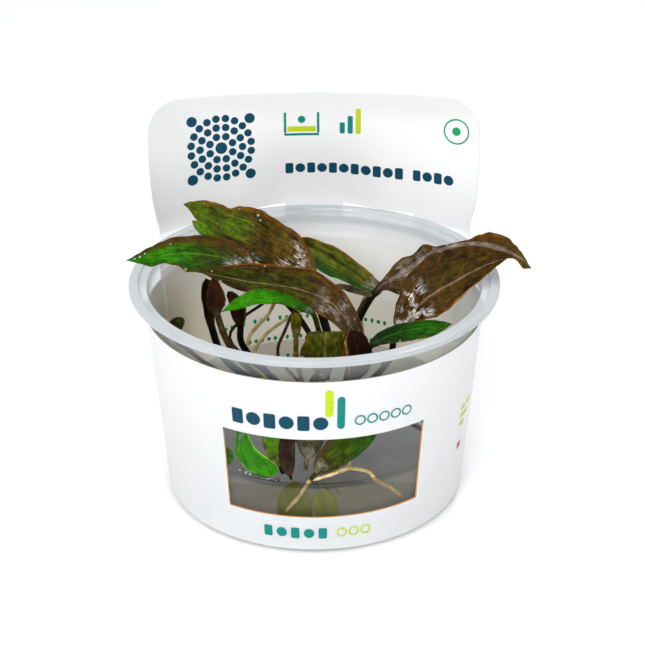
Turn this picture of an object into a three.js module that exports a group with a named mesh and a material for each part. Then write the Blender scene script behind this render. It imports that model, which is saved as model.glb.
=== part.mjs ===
// Rose maiden Cryptocoryne nurii in its growing cup: a clear round cup without a lid, a white card
// sleeve with a window and a header panel, a layer of growing gel, and the leaves, crowns and roots
// of a clump of young plants. Millimetres, +Z up. The origin is the middle of the cup's foot, and
// the front, with the window, faces -Y.
import * as THREE from 'three'

// Driving sizes
const cupHeight = 62
const rimRadius = 50.5
const rimBottomZ = 60.4
const floorThick = 1.2
const wallThick = 0.85
const wallFootRadius = 40.67
const wallSlope = 0.0843
const fitGap = 0.35
const cardThick = 0.5
const sleeveBottomZ = 1
const sleeveTopZ = 54.1
const windowLeftDeg = -32.6
const windowRightDeg = 39.5
const windowBottomZ = 11.6
const windowTopZ = 36.6
const gelTopZ = 20.5
const headerTopZ = 97.2
const headerCornerRadius = 9.5
const headerHalfWidth = 47.4
const headerStartDeg = 110
const slitBottomZ = 58.5
const slitTopZ = 62.4
const slitInner = 0.19
const slitOuter = 0.66
const roundSides = 40

// Finishes
const finish = (color, roughness) => new THREE.MeshStandardMaterial({ color, roughness, metalness: 0 })
const finishes = {
  clearPlastic: finish(0xe4e8ea, 0.2),
  card: finish(0xf4f4f2, 0.45),
  gel: finish(0x7d7f78, 0.1),
  brownLeaf: finish(0x5a4514, 0.35),
  oliveLeaf: finish(0x6a6a1c, 0.35),
  greenLeaf: finish(0x3f8a1c, 0.3),
  darkLeaf: finish(0x2a1208, 0.35),
  crown: finish(0x6b5a2c, 0.6),
  root: finish(0xb59a4e, 0.6)
}

const object = new THREE.Group()
object.name = 'cryptocoryne_cup'

function addNode(name, geometry, material) {
  const mesh = new THREE.Mesh(geometry, material)
  mesh.name = name
  object.add(mesh)
}

function geometryFrom(points, faces) {
  const geometry = new THREE.BufferGeometry()
  const positions = points.flatMap((p) => [p.x, p.y, p.z])
  geometry.setAttribute('position', new THREE.Float32BufferAttribute(positions, 3))
  geometry.setIndex(faces.flat())
  return geometry
}

// A profile of [radius, height] pairs, outside going up and inside coming down, turned about Z
function turned(profile, sides = roundSides) {
  const points = profile.map(([r, z]) => new THREE.Vector2(r, z))
  const geometry = new THREE.LatheGeometry(points, sides)
  geometry.rotateX(Math.PI / 2)
  return geometry
}

const wallOuter = (z) => wallFootRadius + wallSlope * z
const wallInner = (z) => wallOuter(z) - wallThick

function makeCup() {
  const footCorner = 1.2
  const innerCorner = 1.4
  const flareZ = 57.5
  const lidSeat = 47.7
  const lidSeatDrop = 0.8
  const rimInner = 45.6
  const edgeRound = 0.4
  const profile = [
    [0, 0],
    [wallOuter(0) - footCorner, 0],
    [wallOuter(footCorner), footCorner],
    [wallOuter(flareZ), flareZ],
    [lidSeat + 2 * edgeRound, rimBottomZ],
    [rimRadius - edgeRound, rimBottomZ + edgeRound / 2],
    [rimRadius, rimBottomZ + 2 * edgeRound],
    [rimRadius - edgeRound / 2, cupHeight - edgeRound],
    [rimRadius - 2 * edgeRound, cupHeight],
    [lidSeat + edgeRound, cupHeight],
    [lidSeat, cupHeight - lidSeatDrop + 0.1],
    [rimInner + edgeRound, cupHeight - lidSeatDrop],
    [rimInner, cupHeight - lidSeatDrop - edgeRound],
    [wallInner(flareZ), flareZ + 2 * edgeRound],
    [wallInner(floorThick + innerCorner), floorThick + innerCorner],
    [wallInner(0) - innerCorner, floorThick],
    [0, floorThick]
  ]
  addNode('cup', turned(profile), finishes.clearPlastic)
}

function makeGel() {
  const bottomZ = floorThick + fitGap
  const corner = 1.6
  const edge = (z) => wallInner(z) - fitGap
  const profile = [
    [0, bottomZ],
    [edge(bottomZ) - corner, bottomZ],
    [edge(bottomZ + corner), bottomZ + corner],
    [edge(gelTopZ), gelTopZ],
    [0, gelTopZ]
  ]
  addNode('gel', turned(profile), finishes.gel)
}

// Plan curve of the header panel's front face: half an ellipse at the rim, almost flat at its top,
// which leans back a little
function headerDepth(x, z) {
  const middleDepth = 47
  const straightenHeight = 30
  const ellipseDepth = 25
  const ellipseHalfWidth = 48.5
  const topCurve = 1 / 290
  const leanPerHeight = 0.07
  const rise = THREE.MathUtils.smoothstep(z, slitTopZ, slitTopZ + straightenHeight)
  const ellipseSag = ellipseDepth * (1 - Math.sqrt(Math.max(0, 1 - (x / ellipseHalfWidth) ** 2)))
  const flatSag = topCurve * x * x
  const lean = leanPerHeight * Math.max(0, z - slitTopZ)
  return middleDepth + lean - THREE.MathUtils.lerp(ellipseSag, flatSag, rise)
}

function headerEdge(z) {
  const narrowing = 2.9
  const cornerZ = headerTopZ - headerCornerRadius
  if (z <= cornerZ) {
    const t = (z - slitTopZ) / (cornerZ - slitTopZ)
    return headerHalfWidth - narrowing * (1 - t) ** 2
  }
  const up = Math.min(z - cornerZ, headerCornerRadius)
  return headerHalfWidth - headerCornerRadius + Math.sqrt(headerCornerRadius ** 2 - up * up)
}

// The middle tongue passes outside the rim, between the two slits
function tongueDepth(x, z) {
  const rimGap = 0.45
  const halfWidth = 8.6
  const easeWidth = 15
  const easeHeight = 20
  const outsideRim = Math.sqrt((rimRadius + rimGap) ** 2 - x * x)
  const across = 1 - THREE.MathUtils.smoothstep(Math.abs(x), halfWidth, halfWidth + easeWidth)
  const down = 1 - THREE.MathUtils.smoothstep(z, slitTopZ, slitTopZ + easeHeight)
  return (outsideRim - headerDepth(x, z)) * across * down
}

// The height, just under the rim, where the sleeve has left the cup's wall for the header's curve
const leaveWallZ = rimBottomZ - 0.3

// The sleeve's inner face at one column and one height
function sleevePoint(column, z) {
  const onWall = (r) => new THREE.Vector3(r * Math.sin(column.angle), -r * Math.cos(column.angle), z)
  if (column.side === 'front' || z <= sleeveTopZ) {
    return onWall(wallOuter(z) + fitGap)
  }
  const headerZ = Math.max(z, slitTopZ)
  const x = column.u * headerEdge(headerZ)
  const header = new THREE.Vector3(x, headerDepth(x, headerZ) + tongueDepth(x, headerZ), z)
  if (z >= leaveWallZ) {
    return header
  }
  const low = onWall(wallOuter(sleeveTopZ) + fitGap)
  return low.lerp(header, (z - sleeveTopZ) / (leaveWallZ - sleeveTopZ))
}

// count values from one number towards another, without the last
function spaced(from, to, count) {
  return Array.from({ length: count }, (_, i) => from + ((to - from) * i) / count)
}

function sleeveColumns() {
  const frontDegrees = [
    ...spaced(-headerStartDeg, windowLeftDeg, 9),
    ...spaced(windowLeftDeg, windowRightDeg, 9),
    ...spaced(windowRightDeg, headerStartDeg, 8)
  ]
  const half = [...spaced(1, slitOuter, 3), ...spaced(slitOuter, slitInner, 4), ...spaced(slitInner, 0, 2)]
  const across = [...half, 0, ...half.map((u) => -u).reverse()]
  const column = (side, degrees, u) => ({ side, degrees, u, angle: THREE.MathUtils.degToRad(degrees) })
  return [
    ...frontDegrees.map((degrees) => column('front', degrees)),
    ...across.map((u) => column('back', 180 - u * (180 - headerStartDeg), u))
  ]
}

// Which cells of the sheet hold card: not the window, not above the sleeve's top at the front, and
// not the two slits beside the middle tongue
function isCard(a, b, lowZ, highZ) {
  const middleZ = (lowZ + highZ) / 2
  if (a.side === 'back' && b.side === 'back') {
    const u = Math.abs(a.u + b.u) / 2
    const inSlit = u > slitInner && u < slitOuter && middleZ > slitBottomZ && middleZ < slitTopZ
    return !inSlit
  }
  if (middleZ > sleeveTopZ) {
    return false
  }
  const middle = (a.degrees + b.degrees) / 2
  const inWindow = middle > windowLeftDeg && middle < windowRightDeg
  return !(inWindow && a.side === 'front' && middleZ > windowBottomZ && middleZ < windowTopZ)
}

// A sheet of card: two faces a card's thickness apart, walled round every edge, slit and window
function makeSleeve() {
  const columns = sleeveColumns()
  const cornerSteps = [0.35, 0.65, 0.87, 1]
  const cornerZ = headerTopZ - headerCornerRadius
  const rows = [sleeveBottomZ, windowBottomZ, windowTopZ, sleeveTopZ, slitBottomZ, leaveWallZ]
  rows.push(...spaced(slitTopZ, cornerZ, 6), cornerZ)
  rows.push(...cornerSteps.map((k) => cornerZ + k * headerCornerRadius))
  const count = columns.length
  const points = []
  const place = (row, column) => 2 * (row * count + column)
  for (const z of rows) {
    const inner = columns.map((column) => sleevePoint(column, z))
    inner.forEach((point, i) => {
      const onHeader = z > sleeveTopZ
      const isFirst = columns[i].side === 'back' && columns[i].u === 1
      const isLast = columns[i].side === 'back' && columns[i].u === -1
      const before = onHeader && isFirst ? point : inner[(i + count - 1) % count]
      const after = onHeader && isLast ? point : inner[(i + 1) % count]
      const along = after.clone().sub(before).setZ(0).normalize()
      const outward = new THREE.Vector3(along.y, -along.x, 0)
      points.push(point, point.clone().addScaledVector(outward, cardThick))
    })
  }
  const faces = []
  const quad = (a, b, c, d) => faces.push([a, b, c], [a, c, d])
  const filled = (row, column) => {
    if (row < 0 || row >= rows.length - 1) {
      return false
    }
    const i = (column + count) % count
    return isCard(columns[i], columns[(i + 1) % count], rows[row], rows[row + 1])
  }
  for (let row = 0; row < rows.length - 1; row++) {
    for (let i = 0; i < count; i++) {
      if (!filled(row, i)) {
        continue
      }
      const next = (i + 1) % count
      const lowLeft = place(row, i)
      const lowRight = place(row, next)
      const highRight = place(row + 1, next)
      const highLeft = place(row + 1, i)
      quad(lowLeft + 1, lowRight + 1, highRight + 1, highLeft + 1)
      quad(lowLeft, highLeft, highRight, lowRight)
      if (!filled(row - 1, i)) {
        quad(lowLeft, lowRight, lowRight + 1, lowLeft + 1)
      }
      if (!filled(row + 1, i)) {
        quad(highLeft, highLeft + 1, highRight + 1, highRight)
      }
      if (!filled(row, i - 1)) {
        quad(lowLeft, lowLeft + 1, highLeft + 1, highLeft)
      }
      if (!filled(row, i + 1)) {
        quad(lowRight, highRight, highRight + 1, lowRight + 1)
      }
    }
  }
  addNode('sleeve', geometryFrom(points, faces), finishes.card)
}

// How wide a blade is along its length, 0 at both ends and 1 at its widest
function bladeShape(u, peak, tipPower) {
  const base = 0.8
  const tip = (base * (1 - peak) * tipPower) / peak
  const widest = base / (base + tip)
  const at = (s) => s ** base * (1 - s) ** tip
  return at(u) / at(widest)
}

// A list's value at u from 0 to 1, its entries spaced evenly
function along(list, u, isSmooth = false) {
  const place = u * (list.length - 1)
  const i = Math.min(Math.floor(place), list.length - 2)
  const step = isSmooth ? THREE.MathUtils.smoothstep(place - i, 0, 1) : place - i
  return list[i] + (list[i + 1] - list[i]) * step
}

// A leaf is one lofted solid. Its spine runs up the stalk, from foot to blade, and on along the
// blade's midrib to the tip. face holds the ways that the blade's upper side looks, base to tip.
function leafGeometry(leaf) {
  const { spine, bladeAt, width, face, stalk, fold = 8, wave = 0, waves = 2, phase = 0 } = leaf
  const { peak = 0.45, tip = 0.9, leftLobes = [1, 1], rightLobes = [1, 1] } = leaf
  const { stalkSteps = 4, bladeSteps = 9 } = leaf
  const corners = 8
  const bladeHalfThick = 0.42
  const tipHalfThick = 0.25
  const tipHalfWidth = 0.3
  const spreadRate = 8
  const rippleEdge = 1.6
  const rippleShift = 1.9
  const spinePoints = spine.map((p) => new THREE.Vector3(...p))
  const curve = new THREE.CatmullRomCurve3(spinePoints, false, 'catmullrom', 0.5)
  const start = bladeAt / (spine.length - 1)
  const stations = [...spaced(0, start, stalkSteps), ...spaced(start, 1, bladeSteps), 1]
  const points = []
  stations.forEach((t) => {
    const centre = curve.getPoint(t)
    const tangent = curve.getTangent(t)
    const u = Math.max(0, (t - start) / (1 - start))
    const isTip = t === 1
    const looks = new THREE.Vector3(...[0, 1, 2].map((k) => along(face.map((f) => f[k]), u)))
    const up = looks.addScaledVector(tangent, -looks.dot(tangent)).normalize()
    const across = tangent.clone().cross(up)
    const share = isTip ? 0 : bladeShape(u, peak, tip)
    const spread = Math.min(1, u * spreadRate)
    const halfThick = isTip ? tipHalfThick : stalk + (bladeHalfThick - stalk) * spread
    const angle = THREE.MathUtils.degToRad(fold) * spread
    for (let corner = 0; corner < corners; corner++) {
      const turn = (corner / corners) * 2 * Math.PI
      const side = -Math.cos(turn)
      const isLeft = side < 0
      const sign = Math.abs(side) < 1e-6 ? 0 : Math.sign(side)
      const reach = Math.abs(side)
      const lobe = along(isLeft ? leftLobes : rightLobes, u, true)
      const half = isTip ? tipHalfWidth : stalk + (width[isLeft ? 0 : 1] * lobe - stalk * 0.5) * share
      const rippleTurn = 2 * Math.PI * waves * u + phase + (isLeft ? 0 : rippleShift)
      const ripple = wave * spread * share * reach ** rippleEdge * Math.sin(rippleTurn)
      const lateral = sign * reach * half * Math.cos(angle)
      const height = reach * half * Math.sin(angle) + ripple + Math.sin(turn) * halfThick
      points.push(centre.clone().addScaledVector(across, lateral).addScaledVector(up, height))
    }
  })
  const faces = []
  for (let i = 0; i < stations.length - 1; i++) {
    for (let corner = 0; corner < corners; corner++) {
      const a = i * corners + corner
      const b = i * corners + ((corner + 1) % corners)
      faces.push([a, b, b + corners], [a, b + corners, a + corners])
    }
  }
  const last = (stations.length - 1) * corners
  for (let corner = 1; corner < corners - 1; corner++) {
    faces.push([0, corner + 1, corner], [last, last + corner, last + corner + 1])
  }
  return geometryFrom(points, faces)
}

const leaves = {
  leaf_top_left: {
    spine: [[3, 2, 29], [4, 4, 39], [2, 7, 47], [-1, 8, 57], [-6, 9, 60.5], [-13, 10, 65],
      [-20, 11.6, 68.7], [-28, 13.4, 73], [-36, 15, 77]],
    face: [[0.2, -0.8, 0.5], [0, -0.75, 0.6], [0, -0.6, 0.8]],
    leftLobes: [1, 1, 0.9, 0.8, 0.75, 0.72, 0.77, 0.96, 1.1, 0.83, 0.2],
    rightLobes: [1.3, 1.2, 1.12, 1.1, 1.03, 1.05, 1.06, 1.05, 1.05, 1.06, 1.07, 1.1, 1.12, 1.14, 1.12,
      0.84, 0.96, 1.05, 1.23, 1.22, 1],
    bladeAt: 3, width: [5, 8], stalk: 1.2, fold: 10, wave: 0.8, waves: 3, phase: 1.5, tip: 1.1,
    bladeSteps: 14,
    finish: 'brownLeaf'
  },
  leaf_left: {
    spine: [[-1, 0, 29], [2, 0, 36], [-2, -1, 46], [-7, -2, 54], [-15, -1, 62], [-23, 0, 67], [-34, 0, 69],
      [-43, 0, 68], [-51, 0, 67]],
    face: [[0, -0.75, 0.6], [0, -0.75, 0.7], [-0.2, -0.7, 0.7]],
    leftLobes: [1, 1, 1, 1.1, 0.95, 1.05, 0.66, 0.4, 0.62, 0.4, 0.3],
    rightLobes: [1, 1.2, 1.4, 1.3, 1.05, 1, 1.08, 1, 0.75, 0.35, 0.2],
    bladeAt: 4, width: [5.2, 4.4], stalk: 0.8, wave: 0.8, waves: 2.2, peak: 0.42, tip: 0.8, bladeSteps: 12,
    finish: 'greenLeaf'
  },
  leaf_center: {
    spine: [[8, -10.5, 29], [9, -14, 39], [11, -15, 49], [9.4, -15, 54.6], [4.1, -14, 61], [-4, -12, 63.7],
      [-12, -10.2, 64.4], [-18, -8.5, 64.5], [-24.5, -6.5, 65.1], [-31.2, -4.6, 65.7]],
    face: [[0.5, -0.8, 0.4], [0.2, -0.9, 0.4], [0, -0.9, 0.45]],
    leftLobes: [0.8, 0.63, 0.63, 0.69, 0.48, 0.33, 0.35, 0.48, 0.52, 0.22, 0.1],
    rightLobes: [1, 0.67, 0.63, 0.75, 0.93, 0.86, 0.89, 1.02, 0.98, 0.75, 0.3],
    bladeAt: 2, width: [6.4, 6], stalk: 1.1, fold: 12, wave: 0.4, peak: 0.4, bladeSteps: 12,
    finish: 'brownLeaf'
  },
  leaf_small_green: {
    spine: [[0, -5, 29], [2, -10, 40], [2.5, -15.7, 48.2], [1.1, -17, 53.9], [-0.6, -17.7, 59.6],
      [-5, -18.5, 63.2], [-9, -20, 65.4], [-13, -21, 66.3], [-17, -21.3, 65.5], [-24.5, -21, 61.6]],
    face: [[0, -0.8, 0.6], [0, -0.8, 0.6]],
    leftLobes: [0.8, 1.15, 0.97, 0.84, 0.74, 0.86, 0.92, 0.91, 0.83, 0.81, 0.3],
    rightLobes: [0.2, 0.2, 0.36, 0.42, 0.45, 0.48, 0.62, 0.82, 0.97, 0.92, 0.6],
    bladeAt: 4, width: [2.2, 2.2], stalk: 0.7, fold: 6, peak: 0.5, stalkSteps: 6, bladeSteps: 10,
    finish: 'greenLeaf'
  },
  leaf_back: {
    spine: [[12, -2, 29], [10.8, 5, 41], [13.5, 7.5, 49.5], [18.2, 8.5, 53.7], [15, 9.5, 55.3],
      [10, 12, 58.4], [4.5, 14.5, 61.5], [-0.6, 17, 63.2], [-4.6, 19, 64.8]],
    face: [[0, -0.55, 0.8], [0, -0.55, 0.8]],
    leftLobes: [1.3, 1.3, 0.95, 1.06, 1.22, 1.42, 1.5, 1.24, 1, 0.5, 0.2],
    rightLobes: [1.1, 1.1, 1.25, 1.07, 0.98, 0.95, 0.89, 0.8, 0.77, 0.74, 0.7],
    bladeAt: 3, width: [4.2, 2.8], stalk: 0.8, fold: 14, peak: 0.5, tip: 0.7, stalkSteps: 6, bladeSteps: 10,
    finish: 'oliveLeaf'
  },
  leaf_right_back: {
    spine: [[11, -5.5, 29], [11, 2, 43], [17, 3, 56], [24, 4, 61], [33, 5, 67], [42, 4, 70], [50, 2, 69],
      [56, 0, 67], [59, 0, 64]],
    face: [[0.2, -0.7, 0.6], [0.2, -0.65, 0.7], [0.5, -0.6, 0.7], [0.8, -0.5, 0.5]],
    leftLobes: [0.2, 0.2, 0.59, 0.88, 0.82, 0.45, 0.6, 0.08, 0.05, 0.05, 0.08, 0.35, 0.66, 0.78, 0.81, 0.55,
      0.25, 0.12, 0.1, 0.1, 0.1],
    rightLobes: [0.6, 1.9, 2, 1.4, 1.1, 1, 0.9, 0.6, 0.2, 0.5, 0.3],
    bladeAt: 2, width: [5.5, 6], stalk: 0.9, fold: 6, wave: 0.5, waves: 4, peak: 0.5, tip: 0.7,
    bladeSteps: 20,
    finish: 'brownLeaf'
  },
  leaf_right_front: {
    spine: [[11, -9, 29], [20, -10, 41], [21.5, -10, 48], [24.5, -10, 53.5], [30.3, -9, 59.6],
      [38, -7, 63.6], [45, -5.5, 67], [52.5, -3, 68.8]],
    face: [[0.4, -0.7, 0.5], [0.3, -0.7, 0.6]],
    leftLobes: [0.8, 0.72, 0.76, 0.93, 0.96, 0.99, 0.96, 0.92, 0.86, 0.81, 0.9],
    rightLobes: [0.2, 0.3, 0.84, 1.09, 1.01, 0.84, 0.66, 0.64, 0.5, 0.2, 0.1],
    bladeAt: 2.5, width: [9, 5.4], stalk: 0.9, fold: 6, wave: 0.4, peak: 0.42, tip: 0.8, bladeSteps: 12,
    finish: 'brownLeaf'
  },
  leaf_right_low: {
    spine: [[9.5, -13, 29], [12, -18, 43], [15, -20, 51], [22, -20.5, 55], [29, -21.5, 57],
      [36, -22, 58.3]],
    face: [[0, -0.5, 0.85], [0, -0.5, 0.85]],
    leftLobes: [1.3, 1.2, 1.05, 0.92, 0.85, 0.8, 0.77, 0.74, 0.65, 0.4, 0.3],
    rightLobes: [0.6, 0.7, 0.8, 0.9, 1, 1, 1, 1, 1, 0.8, 0.5],
    bladeAt: 2, width: [2.4, 3.6], stalk: 0.8, fold: 12, peak: 0.42, tip: 0.7,
    finish: 'greenLeaf'
  },
  leaf_front_folded: {
    spine: [[2, -17, 29], [2, -22, 42], [2.6, -23.4, 49.5], [2.9, -23, 54.3], [3, -21.4, 55.6],
      [3.1, -19.4, 54.3], [3.2, -18.4, 50.5]],
    face: [[0, -1, 0.1], [0, -1, 0.1], [0, -1, 0.35], [0, 0, 1], [0, 0.9, 0.5], [0, 1, 0.25]],
    leftLobes: [1, 2.3, 1.35, 0.88, 0.85, 0.9],
    rightLobes: [1, 2.1, 1.3, 1.04, 1, 1],
    bladeAt: 1, width: [5.2, 4.9], stalk: 0.8, fold: 0, peak: 0.6, tip: 0.4, bladeSteps: 12,
    finish: 'oliveLeaf'
  },
  leaf_front_red: {
    spine: [[6, -18, 29], [10, -23.5, 42], [11.4, -25.4, 47.5], [11.2, -25.4, 52.5], [9.4, -25, 58]],
    face: [[0.2, -0.9, 0.3], [0.2, -0.9, 0.3]],
    leftLobes: [1, 1, 1, 0.9, 0.7],
    rightLobes: [1, 1.1, 1.1, 1, 0.8],
    bladeAt: 1, width: [3, 3.1], stalk: 0.8, fold: 10, peak: 0.55, tip: 0.6, bladeSteps: 7,
    finish: 'darkLeaf'
  },
  leaf_left_dark: {
    spine: [[-13, -3, 29], [-24, -8, 40], [-28, -8, 51], [-29, -8.5, 60], [-29, -8.5, 65.5]],
    face: [[0.6, -0.8, 0.3], [0.6, -0.8, 0.3]],
    bladeAt: 2, width: [1.3, 1.8], stalk: 1, fold: 10, peak: 0.5, bladeSteps: 5,
    finish: 'darkLeaf'
  },
  leaf_left_red: {
    spine: [[-11, -6, 29], [-22, -13, 46], [-26, -13, 57], [-26, -13, 62], [-27, -11, 67]],
    face: [[0, -1, 0.2], [0, -1, 0.2]],
    bladeAt: 2, width: [2.3, 2], stalk: 0.9, fold: 5, peak: 0.42, tip: 1.1, bladeSteps: 6,
    finish: 'darkLeaf'
  },
  leaf_left_narrow: {
    spine: [[-8, -5, 29], [-19, -10, 45], [-20, -11, 53], [-21, -10.5, 59], [-23.2, -9.6, 62.2]],
    face: [[0, -1, 0.2], [0, -1, 0.2]],
    bladeAt: 2, width: [1.7, 1.8], stalk: 0.9, fold: 5, peak: 0.4, tip: 1.3, bladeSteps: 6,
    finish: 'darkLeaf'
  },
  leaf_left_tip: {
    spine: [[-14.5, -5.5, 29], [-27, -14, 41], [-34.6, -18.2, 50], [-36.8, -19.5, 54.5],
      [-36.2, -19.7, 59.6]],
    face: [[0.5, -0.6, 0.6], [0.5, -0.6, 0.6]],
    bladeAt: 2, width: [2, 2.1], stalk: 0.6, fold: 8, peak: 0.65, tip: 0.45, bladeSteps: 5,
    finish: 'darkLeaf'
  },
  leaf_behind_green: {
    spine: [[-12, 2, 29], [-23, -4, 44], [-20, -2, 50], [-14, 2, 53], [-8, 4, 58], [-14, 5, 64],
      [-25.5, 8, 69.4], [-33.4, 9.5, 74.4]],
    face: [[0, -0.5, 0.8], [0, -0.5, 0.8]],
    bladeAt: 5, width: [2.2, 1.8], stalk: 0.42, fold: 5, peak: 0.5, tip: 0.8, stalkSteps: 9, bladeSteps: 5,
    finish: 'greenLeaf'
  },
  leaf_back_dark: {
    spine: [[-3, -3, 29], [-10, -5, 40], [-8, -5.5, 48.5], [-4, -4.5, 55.5], [5, -2, 59.5],
      [10, -1, 58.5], [16, 0, 56]],
    face: [[0, -0.5, 0.8], [0, -0.5, 0.8]],
    bladeAt: 4, width: [0.9, 0.9], stalk: 0.45, fold: 5, peak: 0.5, tip: 0.8, stalkSteps: 7, bladeSteps: 4,
    finish: 'darkLeaf'
  },
  leaf_young: {
    spine: [[-3, -6, 29], [-5, -11, 43], [-5, -12, 50], [-5, -12, 54], [-5.2, -12, 57]],
    face: [[0, -1, 0.2], [0, -1, 0.2]],
    bladeAt: 2, width: [1.2, 1.2], stalk: 0.7, fold: 20, peak: 0.4, tip: 0.8, bladeSteps: 4,
    finish: 'oliveLeaf'
  },
  leaf_window_green: {
    spine: [[-9, -8.5, 29], [-14, -22, 42], [-18.2, -33, 42.5], [-19, -35.6, 36.5], [-18.2, -36, 31],
      [-16.6, -36.6, 27.3], [-13.4, -37.6, 24.9], [-9.8, -38.7, 23.4]],
    face: [[-0.4, -0.9, 0.2], [-0.4, -0.9, 0.2]],
    rightLobes: [0.8, 1, 1.05, 0.95, 0.75, 0.55],
    bladeAt: 3, width: [2, 4], stalk: 0.7, fold: 4, peak: 0.6, tip: 0.8, stalkSteps: 5, bladeSteps: 7,
    finish: 'greenLeaf'
  },
  leaf_window_brown: {
    spine: [[-1.2, -39.9, 21.8], [1.8, -39.8, 25.8], [6.5, -39.3, 30.3], [12, -37.9, 34.3],
      [18, -34.9, 39.3]],
    face: [[0, -0.9, 0.3], [0, -0.9, 0.3]],
    bladeAt: 0.5, width: [4, 3.6], stalk: 0.6, fold: 6, peak: 0.5, stalkSteps: 1, bladeSteps: 6,
    finish: 'oliveLeaf'
  },
  leaf_window_pale: {
    spine: [[-2.6, -35, 22], [-1.8, -35.4, 29], [-1.4, -35, 36], [-1, -33, 43]],
    face: [[0, -1, 0.2], [0, -1, 0.2]],
    bladeAt: 0.5, width: [4, 4.4], stalk: 0.6, fold: 6, peak: 0.55, stalkSteps: 1, bladeSteps: 6,
    finish: 'oliveLeaf'
  },
  leaf_window_speckled: {
    spine: [[-8.6, -36.8, 22], [-9.8, -37.2, 27], [-10.4, -37, 33], [-10.2, -35.2, 40]],
    face: [[0, -1, 0.2], [0, -1, 0.2]],
    bladeAt: 0.5, width: [3.2, 3.2], stalk: 0.6, fold: 6, peak: 0.6, stalkSteps: 1, bladeSteps: 5,
    finish: 'greenLeaf'
  },
  leaf_window_left: {
    spine: [[-28, -20, 22.3], [-28.6, -26, 24], [-25.4, -30.9, 24.6], [-21.8, -33.7, 24.4]],
    face: [[-0.7, -0.6, 0.4], [-0.5, -0.8, 0.3]],
    bladeAt: 1, width: [2.1, 2.1], stalk: 0.6, fold: 6, peak: 0.6, tip: 0.6, stalkSteps: 1, bladeSteps: 5,
    finish: 'greenLeaf'
  }
}

function makeLeaves() {
  for (const [name, leaf] of Object.entries(leaves)) {
    addNode(name, leafGeometry(leaf), finishes[leaf.finish])
  }
}

// Short rootstocks that stand on the gel under each bunch of stalks: [x, y, radius]
const crowns = [
  [-10, -1, 3],
  [0, -1.5, 2.6],
  [8, -7, 3],
  [4, -17, 2]
]

function makeCrowns() {
  const height = 7.5
  const bottomZ = gelTopZ + fitGap + 0.15
  crowns.forEach(([x, y, radius], i) => {
    const profile = [
      [0, 0],
      [radius * 0.8, 0],
      [radius, height * 0.3],
      [radius * 0.85, height * 0.65],
      [radius * 0.5, height * 0.95],
      [0, height]
    ]
    const geometry = turned(profile, 10)
    geometry.translate(x, y, bottomZ)
    addNode(`crown_${i + 1}`, geometry, finishes.crown)
  })
}

const roots = [
  [[-12, 3, 22.5], [-18, 10, 26], [-19, 15, 35], [-13, 18, 42], [-10, 19, 49]],
  [[-6, 3, 22.5], [-17, 14, 27], [-15, 20, 33], [-5, 22, 40], [3, 20, 44]],
  [[12, -1, 22.5], [14, 12, 33], [13, 15, 44], [15, 16, 50], [15, 15, 54]],
  [[4, -22, 22.5], [9, -32, 22.6], [7.5, -38, 23.4], [6, -40, 24.3], [9, -39.9, 25.2],
   [13, -38.5, 23.6], [15.4, -37.4, 21.6]]
]

function makeRoots() {
  const radius = 0.55
  const sides = 6
  const section = new THREE.Shape()
  for (let i = 0; i < sides; i++) {
    const turn = (i / sides) * 2 * Math.PI
    const corner = [radius * Math.cos(turn), radius * Math.sin(turn)]
    if (i === 0) {
      section.moveTo(...corner)
    } else {
      section.lineTo(...corner)
    }
  }
  roots.forEach((route, i) => {
    const extrudePath = new THREE.CatmullRomCurve3(route.map((p) => new THREE.Vector3(...p)))
    const geometry = new THREE.ExtrudeGeometry(section, { steps: 12, extrudePath, bevelEnabled: false })
    addNode(`root_${i + 1}`, geometry, finishes.root)
  })
}

makeCup()
makeSleeve()
makeGel()
makeLeaves()
makeCrowns()
makeRoots()

export default object
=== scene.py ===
import math

import bmesh
import bpy
from mathutils import Matrix, Vector, noise


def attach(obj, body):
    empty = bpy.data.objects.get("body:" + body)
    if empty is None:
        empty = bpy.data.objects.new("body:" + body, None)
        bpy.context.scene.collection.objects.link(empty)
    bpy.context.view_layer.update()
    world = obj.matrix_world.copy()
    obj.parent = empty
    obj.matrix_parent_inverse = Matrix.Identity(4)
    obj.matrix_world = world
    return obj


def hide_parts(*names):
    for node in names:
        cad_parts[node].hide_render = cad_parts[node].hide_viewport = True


# Young water plants in a clear growing cup with a white card sleeve.
# Lengths are in millimetres until a mesh is made.
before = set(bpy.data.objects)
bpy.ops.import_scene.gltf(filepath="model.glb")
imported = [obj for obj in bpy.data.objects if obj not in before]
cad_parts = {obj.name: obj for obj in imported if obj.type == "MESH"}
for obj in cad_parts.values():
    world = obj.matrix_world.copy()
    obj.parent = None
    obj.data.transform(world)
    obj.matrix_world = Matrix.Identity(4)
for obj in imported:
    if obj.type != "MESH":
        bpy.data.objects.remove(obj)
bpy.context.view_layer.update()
mm = 0.001


# Camera, floor and light
cameraView = dict(
    place=(0.0, -439.36, 268.67),
    heading=0.2815,  # degrees to the right of straight ahead
    pitch=26.683,    # degrees below level
    roll=-0.164, focal=99.52, sensor=36.0)
studio = dict(
    floorSize=6.0,  # metres
    floorColour=(0.96, 0.96, 0.96, 1), skyColour=(0.97, 0.985, 1.0, 1), skyStrength=0.44,
    softboxes=[  # name, place, aim, width, height, watts
        ("topLight", (0.0, 0.22, 1.3), (0, 0.15, 0), 1.5, 1.3, 8.8),
        ("frontLight", (-0.2, -0.94, 0.64), (0, 0, 0.05), 0.6, 0.45, 7.2),
        ("leftLight", (-0.5, -0.45, 0.75), (0, 0, 0.06), 0.04, 0.04, 0.8),
        ("rightLight", (0.45, -0.5, 0.7), (0, 0, 0.06), 0.04, 0.04, 0.7),
        ("rearLight", (0.2, 0.5, 0.7), (0, 0, 0.06), 0.04, 0.04, 0.8)])


def linked(name, data):
    item = bpy.data.objects.new(name, data)
    bpy.context.scene.collection.objects.link(item)
    return item


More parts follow.
